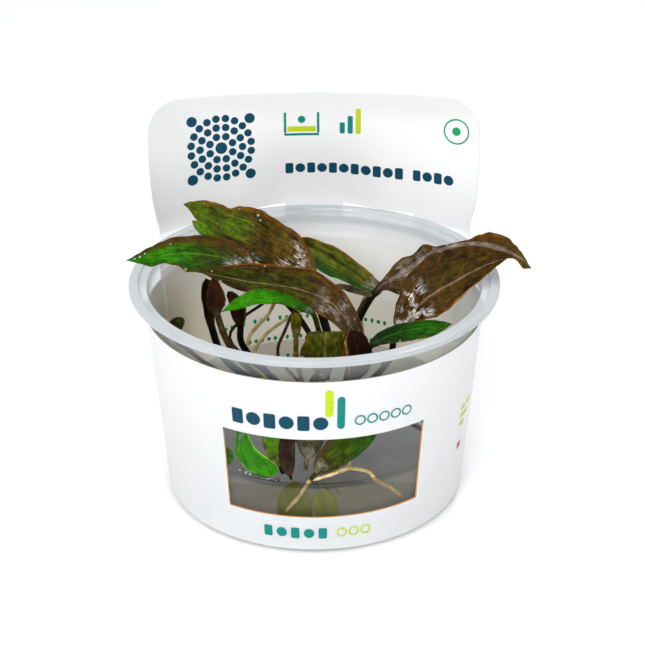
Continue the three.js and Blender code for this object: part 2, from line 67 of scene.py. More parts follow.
def makeStudio():
    camera = bpy.data.cameras.new("camera")
    camera.sensor_width = cameraView["sensor"]
    camera.lens = cameraView["focal"]
    camera.clip_start = 0.01
    cameraObject = linked("camera", camera)
    turn = Matrix.Rotation(-math.radians(cameraView["heading"]), 4, "Z")
    tilt = Matrix.Rotation(math.radians(90 - cameraView["pitch"]), 4, "X")
    roll = Matrix.Rotation(math.radians(cameraView["roll"]), 4, "Z")
    move = Matrix.Translation(Vector(cameraView["place"]) * mm)
    cameraObject.matrix_world = move @ turn @ tilt @ roll
    bpy.context.scene.camera = cameraObject

    half = studio["floorSize"] / 2
    floorMesh = bpy.data.meshes.new("floor")
    corners = [(-half, -half, 0), (half, -half, 0), (half, half, 0), (-half, half, 0)]
    floorMesh.from_pydata(corners, [], [(0, 1, 2, 3)])
    paint = Finish("floorPaint", {"Base Color": studio["floorColour"], "Roughness": 0.7})
    floorMesh.materials.append(paint.material)
    linked("floor", floorMesh)

    world = bpy.data.worlds.new("studio")
    world.use_nodes = True
    sky = world.node_tree.nodes["Background"]
    sky.inputs["Color"].default_value = studio["skyColour"]
    sky.inputs["Strength"].default_value = studio["skyStrength"]
    bpy.context.scene.world = world
    for name, place, target, width, height, watts in studio["softboxes"]:
        light = bpy.data.lights.new(name, "AREA")
        light.shape = "RECTANGLE"
        light.size, light.size_y = width, height
        light.energy = watts
        lamp = linked(name, light)
        lamp.location = place
        lamp.rotation_euler = (Vector(target) - lamp.location).to_track_quat("-Z", "Y").to_euler()
    bpy.context.scene.view_settings.view_transform = "Standard"
    print("studio ready")


# A material and the short words that its nodes are made with
class Finish:
    def __init__(self, name, sockets=None):
        self.material = bpy.data.materials.new(name)
        self.material.use_nodes = True
        self.tree = self.material.node_tree
        self.shader = self.tree.nodes["Principled BSDF"]
        self.coordinates = None
        self.put(self.shader, sockets or {})

    # Sockets are linked or set, a colour by its code
    def put(self, node, sockets):
        for key, value in sockets.items():
            if isinstance(value, bpy.types.NodeSocket):
                self.tree.links.new(value, node.inputs[key])
            else:
                node.inputs[key].default_value = colour(value) if isinstance(value, str) else value

    def add(self, kind, sockets=None, **settings):
        node = self.tree.nodes.new(kind)
        for key, value in settings.items():
            setattr(node, key, value)
        self.put(node, sockets or {})
        return node

    def shade(self, sockets):
        self.put(self.shader, sockets)
        return self

    def place(self):
        if self.coordinates is None:
            self.coordinates = self.add("ShaderNodeTexCoord").outputs["Object"]
        return self.coordinates

    def split(self, vector):
        return self.add("ShaderNodeSeparateXYZ", {"Vector": vector}).outputs

    def calc(self, operation, *values, clamp=False):
        node = self.add("ShaderNodeMath", operation=operation, use_clamp=clamp)
        self.put(node, dict(enumerate(values)))
        return node.outputs[0]

    def times(self, first, second):
        return self.calc("MULTIPLY", first, second)

    def scaled(self, value, factor, extra, clamp=False):
        return self.calc("MULTIPLY_ADD", value, factor, extra, clamp=clamp)

    def span(self, value, low, high, toLow=0.0, toHigh=1.0):
        node = self.add("ShaderNodeMapRange", interpolation_type="SMOOTHSTEP")
        self.put(node, {0: value, 1: low, 2: high, 3: toLow, 4: toHigh})
        return node.outputs[0]

    def fade(self, value, low, high):
        return self.span(value, low, high, 1, 0)

    # A span between two places along an axis, in millimetres
    def rise(self, axis, low, high, toLow=0.0, toHigh=1.0):
        return self.span(self.split(self.place())["XYZ".index(axis)], low * mm, high * mm, toLow, toHigh)

    def mix(self, factor, first, second, blend="MIX"):
        node = self.add("ShaderNodeMix", data_type="RGBA", blend_type=blend)
        self.put(node, {0: factor, 6: first, 7: second})
        return node.outputs[2]

    # Stops such as "6a5838 0.2 584612 54600a": the end colours, and between them place and colour
    def ramp(self, factor, stops):
        words = ["0.0"] + stops.split()
        words.insert(-1, "1.0")
        node = self.add("ShaderNodeValToRGB", {"Fac": factor})
        elements = node.color_ramp.elements
        while len(elements) < len(words) / 2:
            elements.new(0.5)
        for element, position, code in zip(elements, words[::2], words[1::2]):
            element.position = float(position)
            element.color = colour(code)
        return node.outputs["Color"]

    def speckle(self, scale, detail=2.0, rough=0.5, vector=None, distortion=0.0):
        sockets = {"Vector": vector or self.place(), "Scale": scale, "Detail": detail}
        sockets.update({"Roughness": rough, "Distortion": distortion})
        return self.add("ShaderNodeTexNoise", sockets).outputs[0]

    def bump(self, height, distance, strength=1.0):
        sockets = {"Height": height, "Distance": distance * mm, "Strength": strength}
        return self.add("ShaderNodeBump", sockets).outputs["Normal"]


def colour(code):
    parts = [int(code[i:i + 2], 16) / 255 for i in (0, 2, 4)]
    linear = [part / 12.92 if part <= 0.04045 else ((part + 0.055) / 1.055) ** 2.4 for part in parts]
    return (*linear, 1.0)


def makeObject(name, points, faces, finishes, slot, nodes=(), uvs=None, under=None, faceFinishes=None):
    mesh = bpy.data.meshes.new(name)
    mesh.from_pydata([tuple(c * mm for c in point) for point in points], [], faces)
    for mat in finishes:
        mesh.materials.append(mat.material)
    mesh.polygons.foreach_set("use_smooth", [True] * len(mesh.polygons))
    if faceFinishes:
        mesh.polygons.foreach_set("material_index", faceFinishes)
    if uvs:
        layer = mesh.uv_layers.new(name="surface")
        for loop in mesh.loops:
            layer.data[loop.index].uv = uvs[loop.vertex_index]
    if under:
        attribute = mesh.attributes.new("under", "FLOAT", "POINT")
        attribute.data.foreach_set("value", under)
    work = bmesh.new()
    work.from_mesh(mesh)
    bmesh.ops.recalc_face_normals(work, faces=work.faces)
    work.to_mesh(mesh)
    work.free()
    item = linked(name, mesh)
    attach(item, "root")
    if nodes:
        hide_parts(*nodes)
    return item


def smoothStep(value, low, high):
    t = min(1.0, max(0.0, (value - low) / (high - low)))
    return t * t * (3 - 2 * t)


def mixed(a, b, share):
    return a + (b - a) * share


def spaced(start, end, count):
    return [mixed(start, end, i / count) for i in range(count)]


# A list's value at u from 0 to 1, its entries spaced evenly
def listed(values, u, ease=lambda step: step):
    place = min(max(u, 0.0), 1.0) * (len(values) - 1)
    i = min(int(place), len(values) - 2)
    return mixed(values[i], values[i + 1], ease(place - i))


# Rounds the corners of a profile of [radius, height, corner radius]
def roundedProfile(corners, steps=5):
    result = []
    for i, (r, z, corner) in enumerate(corners):
        here = Vector((r, z))
        if corner == 0 or i in (0, len(corners) - 1):
            result.append(here)
            continue
        before = Vector(corners[i - 1][:2])
        after = Vector(corners[i + 1][:2])
        toBefore = (before - here).normalized() * min(corner, (before - here).length * 0.48)
        toAfter = (after - here).normalized() * min(corner, (after - here).length * 0.48)
        start = here + toBefore
        end = here + toAfter
        for k in range(steps + 1):
            t = k / steps
            result.append(start * (1 - t) ** 2 + here * 2 * t * (1 - t) + end * t * t)
    return result


# The faces of a tube of rings, closed at both ends
def tubeFaces(rings, count):
    faces = []
    for i in range(rings - 1):
        for k in range(count):
            a, b = i * count + k, i * count + (k + 1) % count
            faces.append((a, b, b + count, a + count))
    last = (rings - 1) * count
    return faces + [tuple(range(count - 1, -1, -1)), tuple(range(last, last + count))]


# Turns a profile that starts and ends on the axis about Z
def turned(profile, sides, wobble=None):
    points = [Vector((0, 0, profile[0][1]))]
    for r, z in profile[1:-1]:
        ring = [onWall(360 * k / sides, r, z) for k in range(sides)]
        points += [wobble(point) for point in ring] if wobble else ring
    last = len(points)
    points.append(Vector((0, 0, profile[-1][1])))
    faces = [tuple(1 + corner for corner in face) for face in tubeFaces(len(profile) - 2, sides)[:-2]]
    for k in range(sides):
        after = (k + 1) % sides
        faces += [(0, 1 + after, 1 + k), (last - sides + k, last - sides + after, last)]
    return points, faces


# A point at an angle from the front, a distance from the axis and a height
def onWall(degrees, radius, z):
    turn = math.radians(degrees)
    return Vector((radius * math.sin(turn), -radius * math.cos(turn), z))


# The cup, its wall shared by the sleeve and the gel
cupShape = dict(
    height=62.0, rimRadius=50.5, rimBottomZ=60.4, rimInner=45.6, rimMilkZ=58.6, floorThick=1.2,
    wallThick=0.85, footRadius=40.67, slope=0.0843, flareZ=57.5, lidSeat=47.7, lidSeatDrop=0.8, sides=180)


def wallOuter(z):
    return cupShape["footRadius"] + cupShape["slope"] * z


def wallInner(z):
    return wallOuter(z) - cupShape["wallThick"]


def cupFinish():
    mat = Finish("clearPlastic", {"IOR": 1.47, "Specular IOR Level": 0.5})
    milkZ = cupShape["rimMilkZ"]
    drawn = mat.add("ShaderNodeMapping", {"Vector": mat.place(), "Scale": (620, 620, 40)})
    streak = mat.speckle(1.0, 4, 0.6, vector=drawn.outputs[0])
    haze = mat.speckle(60, 3, 0.5)
    grazing = mat.add("ShaderNodeLayerWeight", {"Blend": 0.25}).outputs["Facing"]
    body = mat.calc("ADD", mat.span(grazing, 0.12, 0.75, 0, 0.26), mat.span(streak, 0.52, 0.8, 0, 0.02))
    body = mat.calc("ADD", body, mat.rise("Z", 52, 57, 0, 0.13))
    milk = mat.rise("Z", milkZ - 1, milkZ + 1.5)
    return mat.shade({
        "Base Color": mat.mix(haze, "bcc2c6", "d2d6d9"),
        "Alpha": mat.scaled(milk, mat.rise("Y", -15, 40, 0.6, 0.42), body, clamp=True),
        "Roughness": mat.span(haze, 0.3, 0.7, 0.06, 0.14),
        "Normal": mat.bump(mat.scaled(streak, 0.6, mat.speckle(240, 2)), 0.05, 0.4),
    })


def makeCup():
    shape = cupShape
    top = shape["height"]
    seat = shape["lidSeat"]
    foot = shape["floorThick"]
    flare = shape["flareZ"]
    corners = [
        (0, 0, 0),
        (wallOuter(0) - 1.2, 0, 0.8),
        (wallOuter(1.2), 1.2, 0.8),
        (wallOuter(flare), flare, 1.2),
        (seat + 0.8, shape["rimBottomZ"], 0.5),
        (shape["rimRadius"], shape["rimBottomZ"] + 0.1, 0.5),
        (shape["rimRadius"] - 0.1, top, 0.7),
        (seat + 0.2, top, 0.35),
        (seat - 0.1, top - shape["lidSeatDrop"], 0.25),
        (shape["rimInner"], top - shape["lidSeatDrop"] - 0.05, 0.6),
        (wallInner(flare), flare + 0.8, 1.2),
        (wallInner(foot + 1.4), foot + 1.4, 0.9),
        (wallInner(0) - 1.4, foot, 0.9),
        (0, foot, 0),
    ]
    points, faces = turned(roundedProfile(corners), shape["sides"])
    makeObject("cupShell", points, faces, [cupFinish()], "clear_plastic", ["cup"])
    print("cup made")


# The card sleeve with its window, header and slits
sleeveShape = dict(
    gap=0.35, card=0.5, bottomZ=1.0, topZ=54.1,
    window=(-32.6, 39.5, 11.6, 36.6),  # left and right degrees, bottom and top height
    headerTopZ=97.2, cornerRadius=9.5, halfWidth=47.4, narrowing=2.9, startDeg=110.0,
    slitTopZ=62.4, slitBottomZ=58.5, slitInner=0.19, slitOuter=0.66, leaveWallZ=60.1,
    middleDepth=47, lean=0.07, sagDepth=25, sagHalfWidth=48.5, straighten=30, topRadius=145,
    tongueGap=0.45, tongueHalf=8.6, tongueEase=15,
    tongueBend=32.0)  # height over which the middle tongue comes back to the header's face


# Plan curve of the header's front face: half an ellipse at the rim, almost flat at its top
def headerDepth(x, z):
    shape = sleeveShape
    slitTopZ = shape["slitTopZ"]
    rise = smoothStep(z, slitTopZ, slitTopZ + shape["straighten"])
    sag = shape["sagDepth"] * (1 - math.sqrt(max(0.0, 1 - (x / shape["sagHalfWidth"]) ** 2)))
    lean = shape["lean"] * max(0.0, z - slitTopZ)
    return shape["middleDepth"] + lean - mixed(sag, x * x / (2 * shape["topRadius"]), rise)


def headerEdge(z):
    shape = sleeveShape
    cornerZ = shape["headerTopZ"] - shape["cornerRadius"]
    if z <= cornerZ:
        t = (z - shape["slitTopZ"]) / (cornerZ - shape["slitTopZ"])
        return shape["halfWidth"] - shape["narrowing"] * (1 - t) ** 2
    up = min(z - cornerZ, shape["cornerRadius"])
    return shape["halfWidth"] - shape["cornerRadius"] + math.sqrt(shape["cornerRadius"] ** 2 - up * up)


def tongueDepth(x, z):
    shape = sleeveShape
    outsideRim = math.sqrt((cupShape["rimRadius"] + shape["tongueGap"]) ** 2 - min(x * x, 2500))
    across = 1 - smoothStep(abs(x), shape["tongueHalf"], shape["tongueHalf"] + shape["tongueEase"])
    down = 1 - smoothStep(z, shape["slitTopZ"], shape["slitTopZ"] + shape["tongueBend"])
    return (outsideRim - headerDepth(x, z)) * across * down


def sleevePoint(side, degrees, u, z):
    shape = sleeveShape
    if side == "front" or z <= shape["topZ"]:
        return onWall(degrees, wallOuter(z) + shape["gap"], z)
    headerZ = max(z, shape["slitTopZ"])
    x = u * headerEdge(headerZ)
    header = Vector((x, headerDepth(x, headerZ) + tongueDepth(x, headerZ), z))
    if z >= shape["leaveWallZ"]:
        return header
    low = onWall(degrees, wallOuter(shape["topZ"]) + shape["gap"], z)
    return low.lerp(header, (z - shape["topZ"]) / (shape["leaveWallZ"] - shape["topZ"]))


# Values stepped from each mark towards the next, by the count that stands with the mark
def stepped(*marks):
    pairs = zip(marks, marks[1:])
    return [value for (start, count), (end, last) in pairs for value in spaced(start, end, count)]


def sleeveColumns():
    shape = sleeveShape
    start = shape["startDeg"]
    left, right = shape["window"][:2]
    half = stepped((1, 14), (shape["slitOuter"], 18), (shape["slitInner"], 8), (0, 0))
    back = [("back", 180 - u * (180 - start), u) for u in half + [0] + [-u for u in reversed(half)]]
    return [("front", angle, None) for angle in stepped((-start, 50), (left, 48), (right, 46), (start, 0))] + back


def isCard(a, b, middleZ):
    shape = sleeveShape
    left, right, bottom, top = shape["window"]
    if a[0] == "back" and b[0] == "back":
        u = abs(a[2] + b[2]) / 2
        atSlitHeight = shape["slitBottomZ"] < middleZ < shape["slitTopZ"]
        return not (shape["slitInner"] < u < shape["slitOuter"] and atSlitHeight)
    if middleZ > shape["topZ"]:
        return False
    middle = (a[1] + b[1]) / 2
    return not (a[0] == "front" and left < middle < right and bottom < middleZ < top)


def cardFinish(name, foot, upperTone, code, across, shadeHeights):
    mat = Finish(name, {"Coat Weight": 0.2, "Coat Roughness": 0.3,
                        "Subsurface Radius": (1.0, 0.95, 0.85), "Subsurface Scale": 2.5 * mm})
    fibre = mat.speckle(900, 4, 0.6)
    cloud = mat.speckle(28, 2)
    # The card's tone runs from the foot colour below 24 mm to a lighter, clouded tone above 60 mm
    tone = mat.mix(mat.rise("Z", 24, 60), foot, mat.mix(cloud, upperTone, "f2f2f2"))
    # Painted shade: the tone is mixed towards a darker colour on the left, over the given span of heights, and in a
    # band at the top above 85 mm
    paintedShade = mat.times(mat.rise("X", *across, 1, 0.1), mat.rise("Z", *shadeHeights))
    paintedShade = mat.calc("MAXIMUM", paintedShade, mat.rise("Z", 85, 96, 0, 0.7))
    return mat.shade({
        "Base Color": mat.mix(paintedShade, tone, code),
        "Roughness": mat.span(fibre, 0.3, 0.7, 0.38, 0.5),
        "Subsurface Weight": mat.rise("Z", 55, 64, 0.75, 0.1),
        "Normal": mat.bump(mat.scaled(cloud, 6, fibre), 0.02, 0.35),
    })


def cutEdgeFinish():
    mat = Finish("cutCard", {"Roughness": 0.8})
    fibre = mat.speckle(2500, 3, 0.7)
    # Below 34 mm the front cut edge shows the card's orange core. Above 36 mm it is grey: painted shade on the
    # window's downward top edge, which also tones the sleeve's top edge
    edgeCoreAndShade = mat.mix(mat.rise("Z", 34, 36), mat.mix(fibre, "d0862a", "f0bc70"), mat.mix(fibre, "77706c", "a39a92"))
    warmHere = mat.times(mat.rise("Z", 4, 7), mat.rise("Y", -2, 10, 1, 0))
    return mat.shade({"Base Color": mat.mix(warmHere, mat.mix(fibre, "dedcd8", "ebe9e6"), edgeCoreAndShade)})


def makeSleeve():
    shape = sleeveShape
    columns = sleeveColumns()
    bottom, top = shape["window"][2:]
    cornerZ = shape["headerTopZ"] - shape["cornerRadius"]
    rows = stepped((shape["bottomZ"], 8), (bottom, 18), (top, 12), (shape["topZ"], 4), (shape["slitBottomZ"], 2),
                   (shape["leaveWallZ"], 3), (shape["slitTopZ"], 24), (cornerZ, 0))
    rows += [cornerZ + shape["cornerRadius"] * math.sin(math.pi / 2 * k / 12) for k in range(13)]
    count = len(columns)
    points = []
    for z in rows:
        inner = [sleevePoint(*column, z) for column in columns]
        onHeader = z > shape["topZ"]
        for i, point in enumerate(inner):
            isFirst = onHeader and columns[i][2] == 1
            isLast = onHeader and columns[i][2] == -1
            before = point if isFirst else inner[i - 1]
            after = point if isLast else inner[(i + 1) % count]
            along = after - before
            outward = Vector((along.y, -along.x, 0)).normalized()
            points += [point, point + outward * shape["card"]]

    def filled(row, i):
        if row < 0 or row >= len(rows) - 1:
            return False
        i %= count
        return isCard(columns[i], columns[(i + 1) % count], (rows[row] + rows[row + 1]) / 2)

    faces = []
    finishes = []
    for row in range(len(rows) - 1):
        for i in range(count):
            if not filled(row, i):
                continue
            after = (i + 1) % count
            lowLeft, lowRight = 2 * (row * count + i), 2 * (row * count + after)
            highLeft, highRight = lowLeft + 2 * count, lowRight + 2 * count
            faces.append((lowLeft + 1, lowRight + 1, highRight + 1, highLeft + 1))
            faces.append((lowLeft, highLeft, highRight, lowRight))
            finishes += [0, 0 if rows[row] > shape["topZ"] else 2]
            sides = [
                (filled(row - 1, i), (lowLeft, lowRight, lowRight + 1, lowLeft + 1)),
                (filled(row + 1, i), (highLeft, highLeft + 1, highRight + 1, highRight)),
                (filled(row, i - 1), (lowLeft, lowLeft + 1, highLeft + 1, highLeft)),
                (filled(row, i + 1), (lowRight, highRight, highRight + 1, lowRight + 1)),
            ]
            for covered, face in sides:
                if not covered:
                    faces.append(face)
                    finishes.append(1)
    used = sorted({corner for face in faces for corner in face})
    renumber = {old: new for new, old in enumerate(used)}
    faces = [tuple(renumber[corner] for corner in face) for face in faces]
    points = [points[old] for old in used]
    # Each card's third colour and the spans after it are painted shade: the header's left side and top band outside,
    # the lower left wall inside
    skins = [cardFinish("whiteCard", "e6e7e7", "f5f5f5", "d8d9d9", (-54, -6), (60, 66)), cutEdgeFinish(),
             cardFinish("insideCard", "faf2dc", "fbfbf9", "7c7056", (-47, -26), (78, 34))]
    sleeve = makeObject("sleeveCard", points, faces, skins, "card", ["sleeve"], faceFinishes=finishes)
    sharp = bmesh.new()
    sharp.from_mesh(sleeve.data)
    for edge in sharp.edges:
        if sum(face.material_index == 1 for face in edge.link_faces) == 1:
            edge.smooth = False
    sharp.to_mesh(sleeve.data)
    sharp.free()
    print("sleeve made")


# The gel
gelShape = dict(topZ=20.5, gap=0.06, lip=1.1, sides=120, rippledRadius=38.5, rippleRate=0.09, rippleHeight=0.5)


def gelFinish():
    mat = Finish("growingGel", {"IOR": 1.335})
    cloud = mat.speckle(55, 3, 0.55, distortion=0.6)
    # Painted shade: the gel's sides below its top are near black, and the gel is more opaque towards the front, for
    # the shade of the sleeve around it
    return mat.shade({
        "Base Color": mat.mix(mat.rise("Z", 19.6, 20.2), mat.mix(cloud, "5e5a40", "7e7860"), "1d1c0e"),
        "Roughness": mat.span(cloud, 0.3, 0.7, 0.06, 0.16),
        "Alpha": mat.times(mat.span(cloud, 0.3, 0.7, 0.34, 0.46), mat.rise("Y", -18, 16, 1, 0.25)),
        "Normal": mat.bump(mat.speckle(120, 2), 0.25, 0.5),
    })


def makeGel():
    shape = gelShape
    bottomZ = cupShape["floorThick"] + 0.1
    top = shape["topZ"]

    def edge(z):
        return wallInner(z) - shape["gap"]

    corners = [
        (0, bottomZ, 0),
        (edge(bottomZ) - 1.5, bottomZ, 0.9),
        (edge(bottomZ + 1.5), bottomZ + 1.5, 0.9),
        (edge(top + shape["lip"]), top + shape["lip"], 0.1),
        (edge(top) - 0.5, top + shape["lip"] * 0.3, 0.5),
        (edge(top) - 1.6, top, 0.8),
        (0, top, 0),
    ]
    profile = roundedProfile(corners)
    final = profile.pop()
    profile += [Vector((r, top)) for r in (32, 24, 16, 8, 3)] + [final]

    def wobble(point):
        if point.z < top - 0.01 or point.xy.length > shape["rippledRadius"]:
            return point
        lift = noise.noise(Vector((*(point.xy * shape["rippleRate"]), 3.3)))
        return point + Vector((0, 0, lift * shape["rippleHeight"]))

    points, faces = turned(profile, shape["sides"], wobble)
    makeObject("gelLayer", points, faces, [gelFinish()], "gel", ["gel"])
    print("gel made")


# Flat printed marks, laid on the card as thin films of ink
inkColours = dict(navy="0b4257", teal="0f7f78", green="159a5a", lime="b7cc17", dusk="b55a6a")
inkFilm = dict(lift=0.012, thick=0.03, step=1.2)


def inkFinish(name):
    mat = Finish(name + "Ink", {"Specular IOR Level": 0.12})
    base = colour(inkColours[name])
    light = tuple(min(1.0, part * 1.15 + 0.004) for part in base[:3]) + (1.0,)
    grain = mat.speckle(1800, 3, 0.6)
    return mat.shade({"Base Color": mat.mix(mat.span(grain, 0.35, 0.75), base, light),
                      "Roughness": mat.span(grain, 0.3, 0.7, 0.36, 0.5)})


def bar(x, z, width, height, radius=0.4):
    radius = min(radius, width / 2, height / 2)
    outline = []
    for cornerX, cornerZ, start in ((1, 1, 0), (-1, 1, 90), (-1, -1, 180), (1, -1, 270)):
        for k in range(5):
            turn = math.radians(start + 22.5 * k)
            outline.append((x + cornerX * (width / 2 - radius) + radius * math.cos(turn),
                            z + cornerZ * (height / 2 - radius) + radius * math.sin(turn)))
    return outline


def disc(x, z, radius, sides=24):
    turns = [2 * math.pi * k / sides for k in range(sides)]
    return [(x + radius * math.cos(turn), z + radius * math.sin(turn)) for turn in turns]


# A border of discs and upright bars in turn, from the middle of its first
def motifRow(left, z, count, pitch, size):
    places = [(k, left + pitch * k) for k in range(count)]
    return [disc(x, z, size / 2) if k % 2 else bar(x, z, size * 0.8, size * 1.15, 0.5) for k, x in places]


def ring(x, z, radius, thick, parts=24):
    outlines = []
    for k in range(parts):
        a, b = 2 * math.pi * k / parts, 2 * math.pi * (k + 1) / parts
        outer, inner = radius + thick / 2, radius - thick / 2
        outlines.append([(x + r * math.cos(t), z + r * math.sin(t))
                         for r, t in ((inner, a), (outer, a), (outer, b), (inner, b))])
    return outlines


def onHeader(x, z):
    def depth(side):
        return headerDepth(side, z) + tongueDepth(side, z)

    here = Vector((x, depth(x), z))
    along = Vector((1, depth(x + 0.5) - depth(x - 0.5), 0))
    return here, Vector((along.y, -along.x, 0)).normalized()


printRadius = 44.8  # the sleeve's mean outside radius, on which front marks are laid out


def onFront(s, z):
    degrees = math.degrees(s / printRadius)
    radius = wallOuter(z) + sleeveShape["gap"] + sleeveShape["card"]
    return onWall(degrees, radius, z), onWall(degrees, 1, 0)


def onInsideBack(s, z):
    degrees = 180 + math.degrees(s / printRadius)
    return onWall(degrees, wallOuter(z) + sleeveShape["gap"], z), -onWall(degrees, 1, 0)


def makePrint(name, ink, outlines, surface):
    work = bmesh.new()
    for outline in outlines:
        corners = [work.verts.new((x, z, 0)) for x, z in outline]
        work.faces.new(corners)
    bmesh.ops.remove_doubles(work, verts=work.verts, dist=0.0005)
    for axis, across in ((0, Vector((1, 0, 0))), (1, Vector((0, 1, 0)))):
        places = [corner[axis] for outline in outlines for corner in outline]
        for k in range(1, int((max(places) - min(places)) / inkFilm["step"]) + 1):
            everything = work.verts[:] + work.edges[:] + work.faces[:]
            cut = across * (min(places) + k * inkFilm["step"])
            bmesh.ops.bisect_plane(work, geom=everything, plane_co=cut, plane_no=across)
    extruded = bmesh.ops.extrude_face_region(work, geom=work.faces[:])
    for item in extruded["geom"]:
        if isinstance(item, bmesh.types.BMVert):
            item.co.z = 1
    points = []
    for vertex in work.verts:
        here, outward = surface(vertex.co.x, vertex.co.y)
        points.append(here + outward * (inkFilm["lift"] + inkFilm["thick"] * vertex.co.z))
    work.verts.index_update()
    faces = [tuple(vertex.index for vertex in face.verts) for face in work.faces]
    work.free()
    film = makeObject(name, points, faces, [inkFinish(ink)], "card")
    film.data.polygons.foreach_set("use_smooth", [False] * len(film.data.polygons))


def makePrints():
    x, z = -26.8, 81.8  # the rosette's middle
    rosette = [disc(x, z, 1.7)]
    for radius, count, size in ((3.5, 8, 1.1), (6.1, 14, 1.1), (8.7, 20, 1.1)):
        turns = [2 * math.pi * (k + 0.5) / count for k in range(count)]
        rosette += [disc(x + radius * math.sin(turn), z + radius * math.cos(turn), size, 16) for turn in turns]
    rosette += [disc(x + 8.3 * a, z + 8.3 * b, 1.5, 16) for a in (-1, 1) for b in (-1, 1)]
    header = [
        ("headerRosette", "navy", rosette),
        ("headerTray", "teal", [bar(-3.5, 84.6, 10.2, 0.7, 0.3), bar(-8.3, 88.2, 0.7, 6.4, 0.3),
                                bar(1.3, 88.2, 0.7, 6.4, 0.3)]),
        ("headerTrayFill", "lime", [bar(-3.5, 86.3, 8.2, 1.6, 0.3)]),
        ("headerTrayDot", "teal", [disc(-3.5, 89.2, 1.1)]),
        ("headerStepsLow", "teal", [bar(8.3, 86.6, 1.5, 3.4), bar(10.6, 87.6, 1.5, 5.4)]),
        ("headerStepsHigh", "lime", [bar(12.9, 88.7, 1.5, 7.6)]),
        ("headerRing", "green", ring(41.0, 87.6, 3.4, 0.45) + [disc(41.0, 87.6, 1.2)]),
        ("headerBorder", "navy", motifRow(-7.2, 73.8, 11, 3.2, 2.9) + motifRow(29.9, 73.8, 4, 3.0, 2.7)),
    ]
    sideBars = [(50.9, 31.6, 2.6), (55.1, 31.6, 4.0), (52.3, 29.0, 5.4), (51.3, 26.4, 3.4)]
    front = [
        ("frontBorder", "navy", motifRow(-20.6, 41.6, 6, 4.4, 3.9)),
        ("frontUprightLime", "lime", [bar(3.6, 47.6, 2.0, 8.2, 1.0)]),
        ("frontUprightTeal", "teal", [bar(6.6, 44.6, 2.0, 9.8, 1.0)]),
        ("frontRings", "teal", sum([ring(11.6 + 3.3 * k, 41.8, 1.3, 0.42, 16) for k in range(5)], [])),
        ("lowBorder", "teal", motifRow(-13.6, 6.4, 5, 3.9, 3.0)),
        ("lowRings", "lime", sum([ring(7.4 + 3.5 * k, 6.4, 1.3, 0.42, 16) for k in range(3)], [])),
        ("sideLines", "lime", [bar(*place, 1.2) for place in sideBars]),
        ("sideSpot", "dusk", [bar(51.0, 19.4, 2.6, 2.0, 0.3)]),
    ]
    rows = []
    for z, groups in ((28.4, (5, 3, 7, 3, 5)), (22.0, (4, 7, 3, 6, 3)), (15.8, (3, 6, 5, 4))):
        left = -22.6
        for marks in groups:
            rows += motifRow(left, z, marks, 2.15, 1.2)
            left += 2.15 * marks + 1.7
    inside = [("insideLines", "green", rows)]
    for surface, prints in ((onHeader, header), (onFront, front), (onInsideBack, inside)):
        for name, ink, outlines in prints:
            makePrint(name, ink, outlines, surface)
    print("prints made")


# Leaves: the blade and stalk as one body. The spine runs up the stalk and along the midrib to the tip.
leafBase = dict(
    face=[(0, -1, 0.2)], lobes=([1, 1], [1, 1]), bladeAt=2, fold=6, wave=0, waves=2, phase=0, peak=0.5,
    tip=0.9, thick=0.2, veins=7, pleat=0.2, crinkle=0.05, bumps=0.35, groove=(0.12, 0.28), grooveWidth=0.55,
    stalkRings=22, bladeRings=66)
acrossPlaces = [0, 0.03, 0.07, 0.13, 0.2, 0.29, 0.39, 0.5, 0.61, 0.71, 0.8, 0.88, 0.94, 0.98, 1]
stalkShare = 0.3  # how much of the texture's length is stalk


def splinePoint(points, t):
    place = t * (len(points) - 1)
    i = min(int(place), len(points) - 2)
    w = place - i
    a, b = points[i], points[i + 1]
    before = points[i - 1] if i > 0 else a * 2 - b
    after = points[i + 2] if i + 2 < len(points) else b * 2 - a
    leave = (b - before) * 0.5
    arrive = (after - a) * 0.5
    return a + leave * w + ((b - a) * 3 - leave * 2 - arrive) * w ** 2 + ((a - b) * 2 + leave + arrive) * w ** 3


def tangentAt(points, t, step):
    ahead = min(1, t + step)
    return (splinePoint(points, ahead) - splinePoint(points, ahead - 2 * step)).normalized()


def bladeShape(u, peak, tip):
    base = 0.8
    tipPower = base * (1 - peak) * tip / peak

    def at(s):
        return s ** base * (1 - s) ** tipPower

    return at(u) / at(base / (base + tipPower))


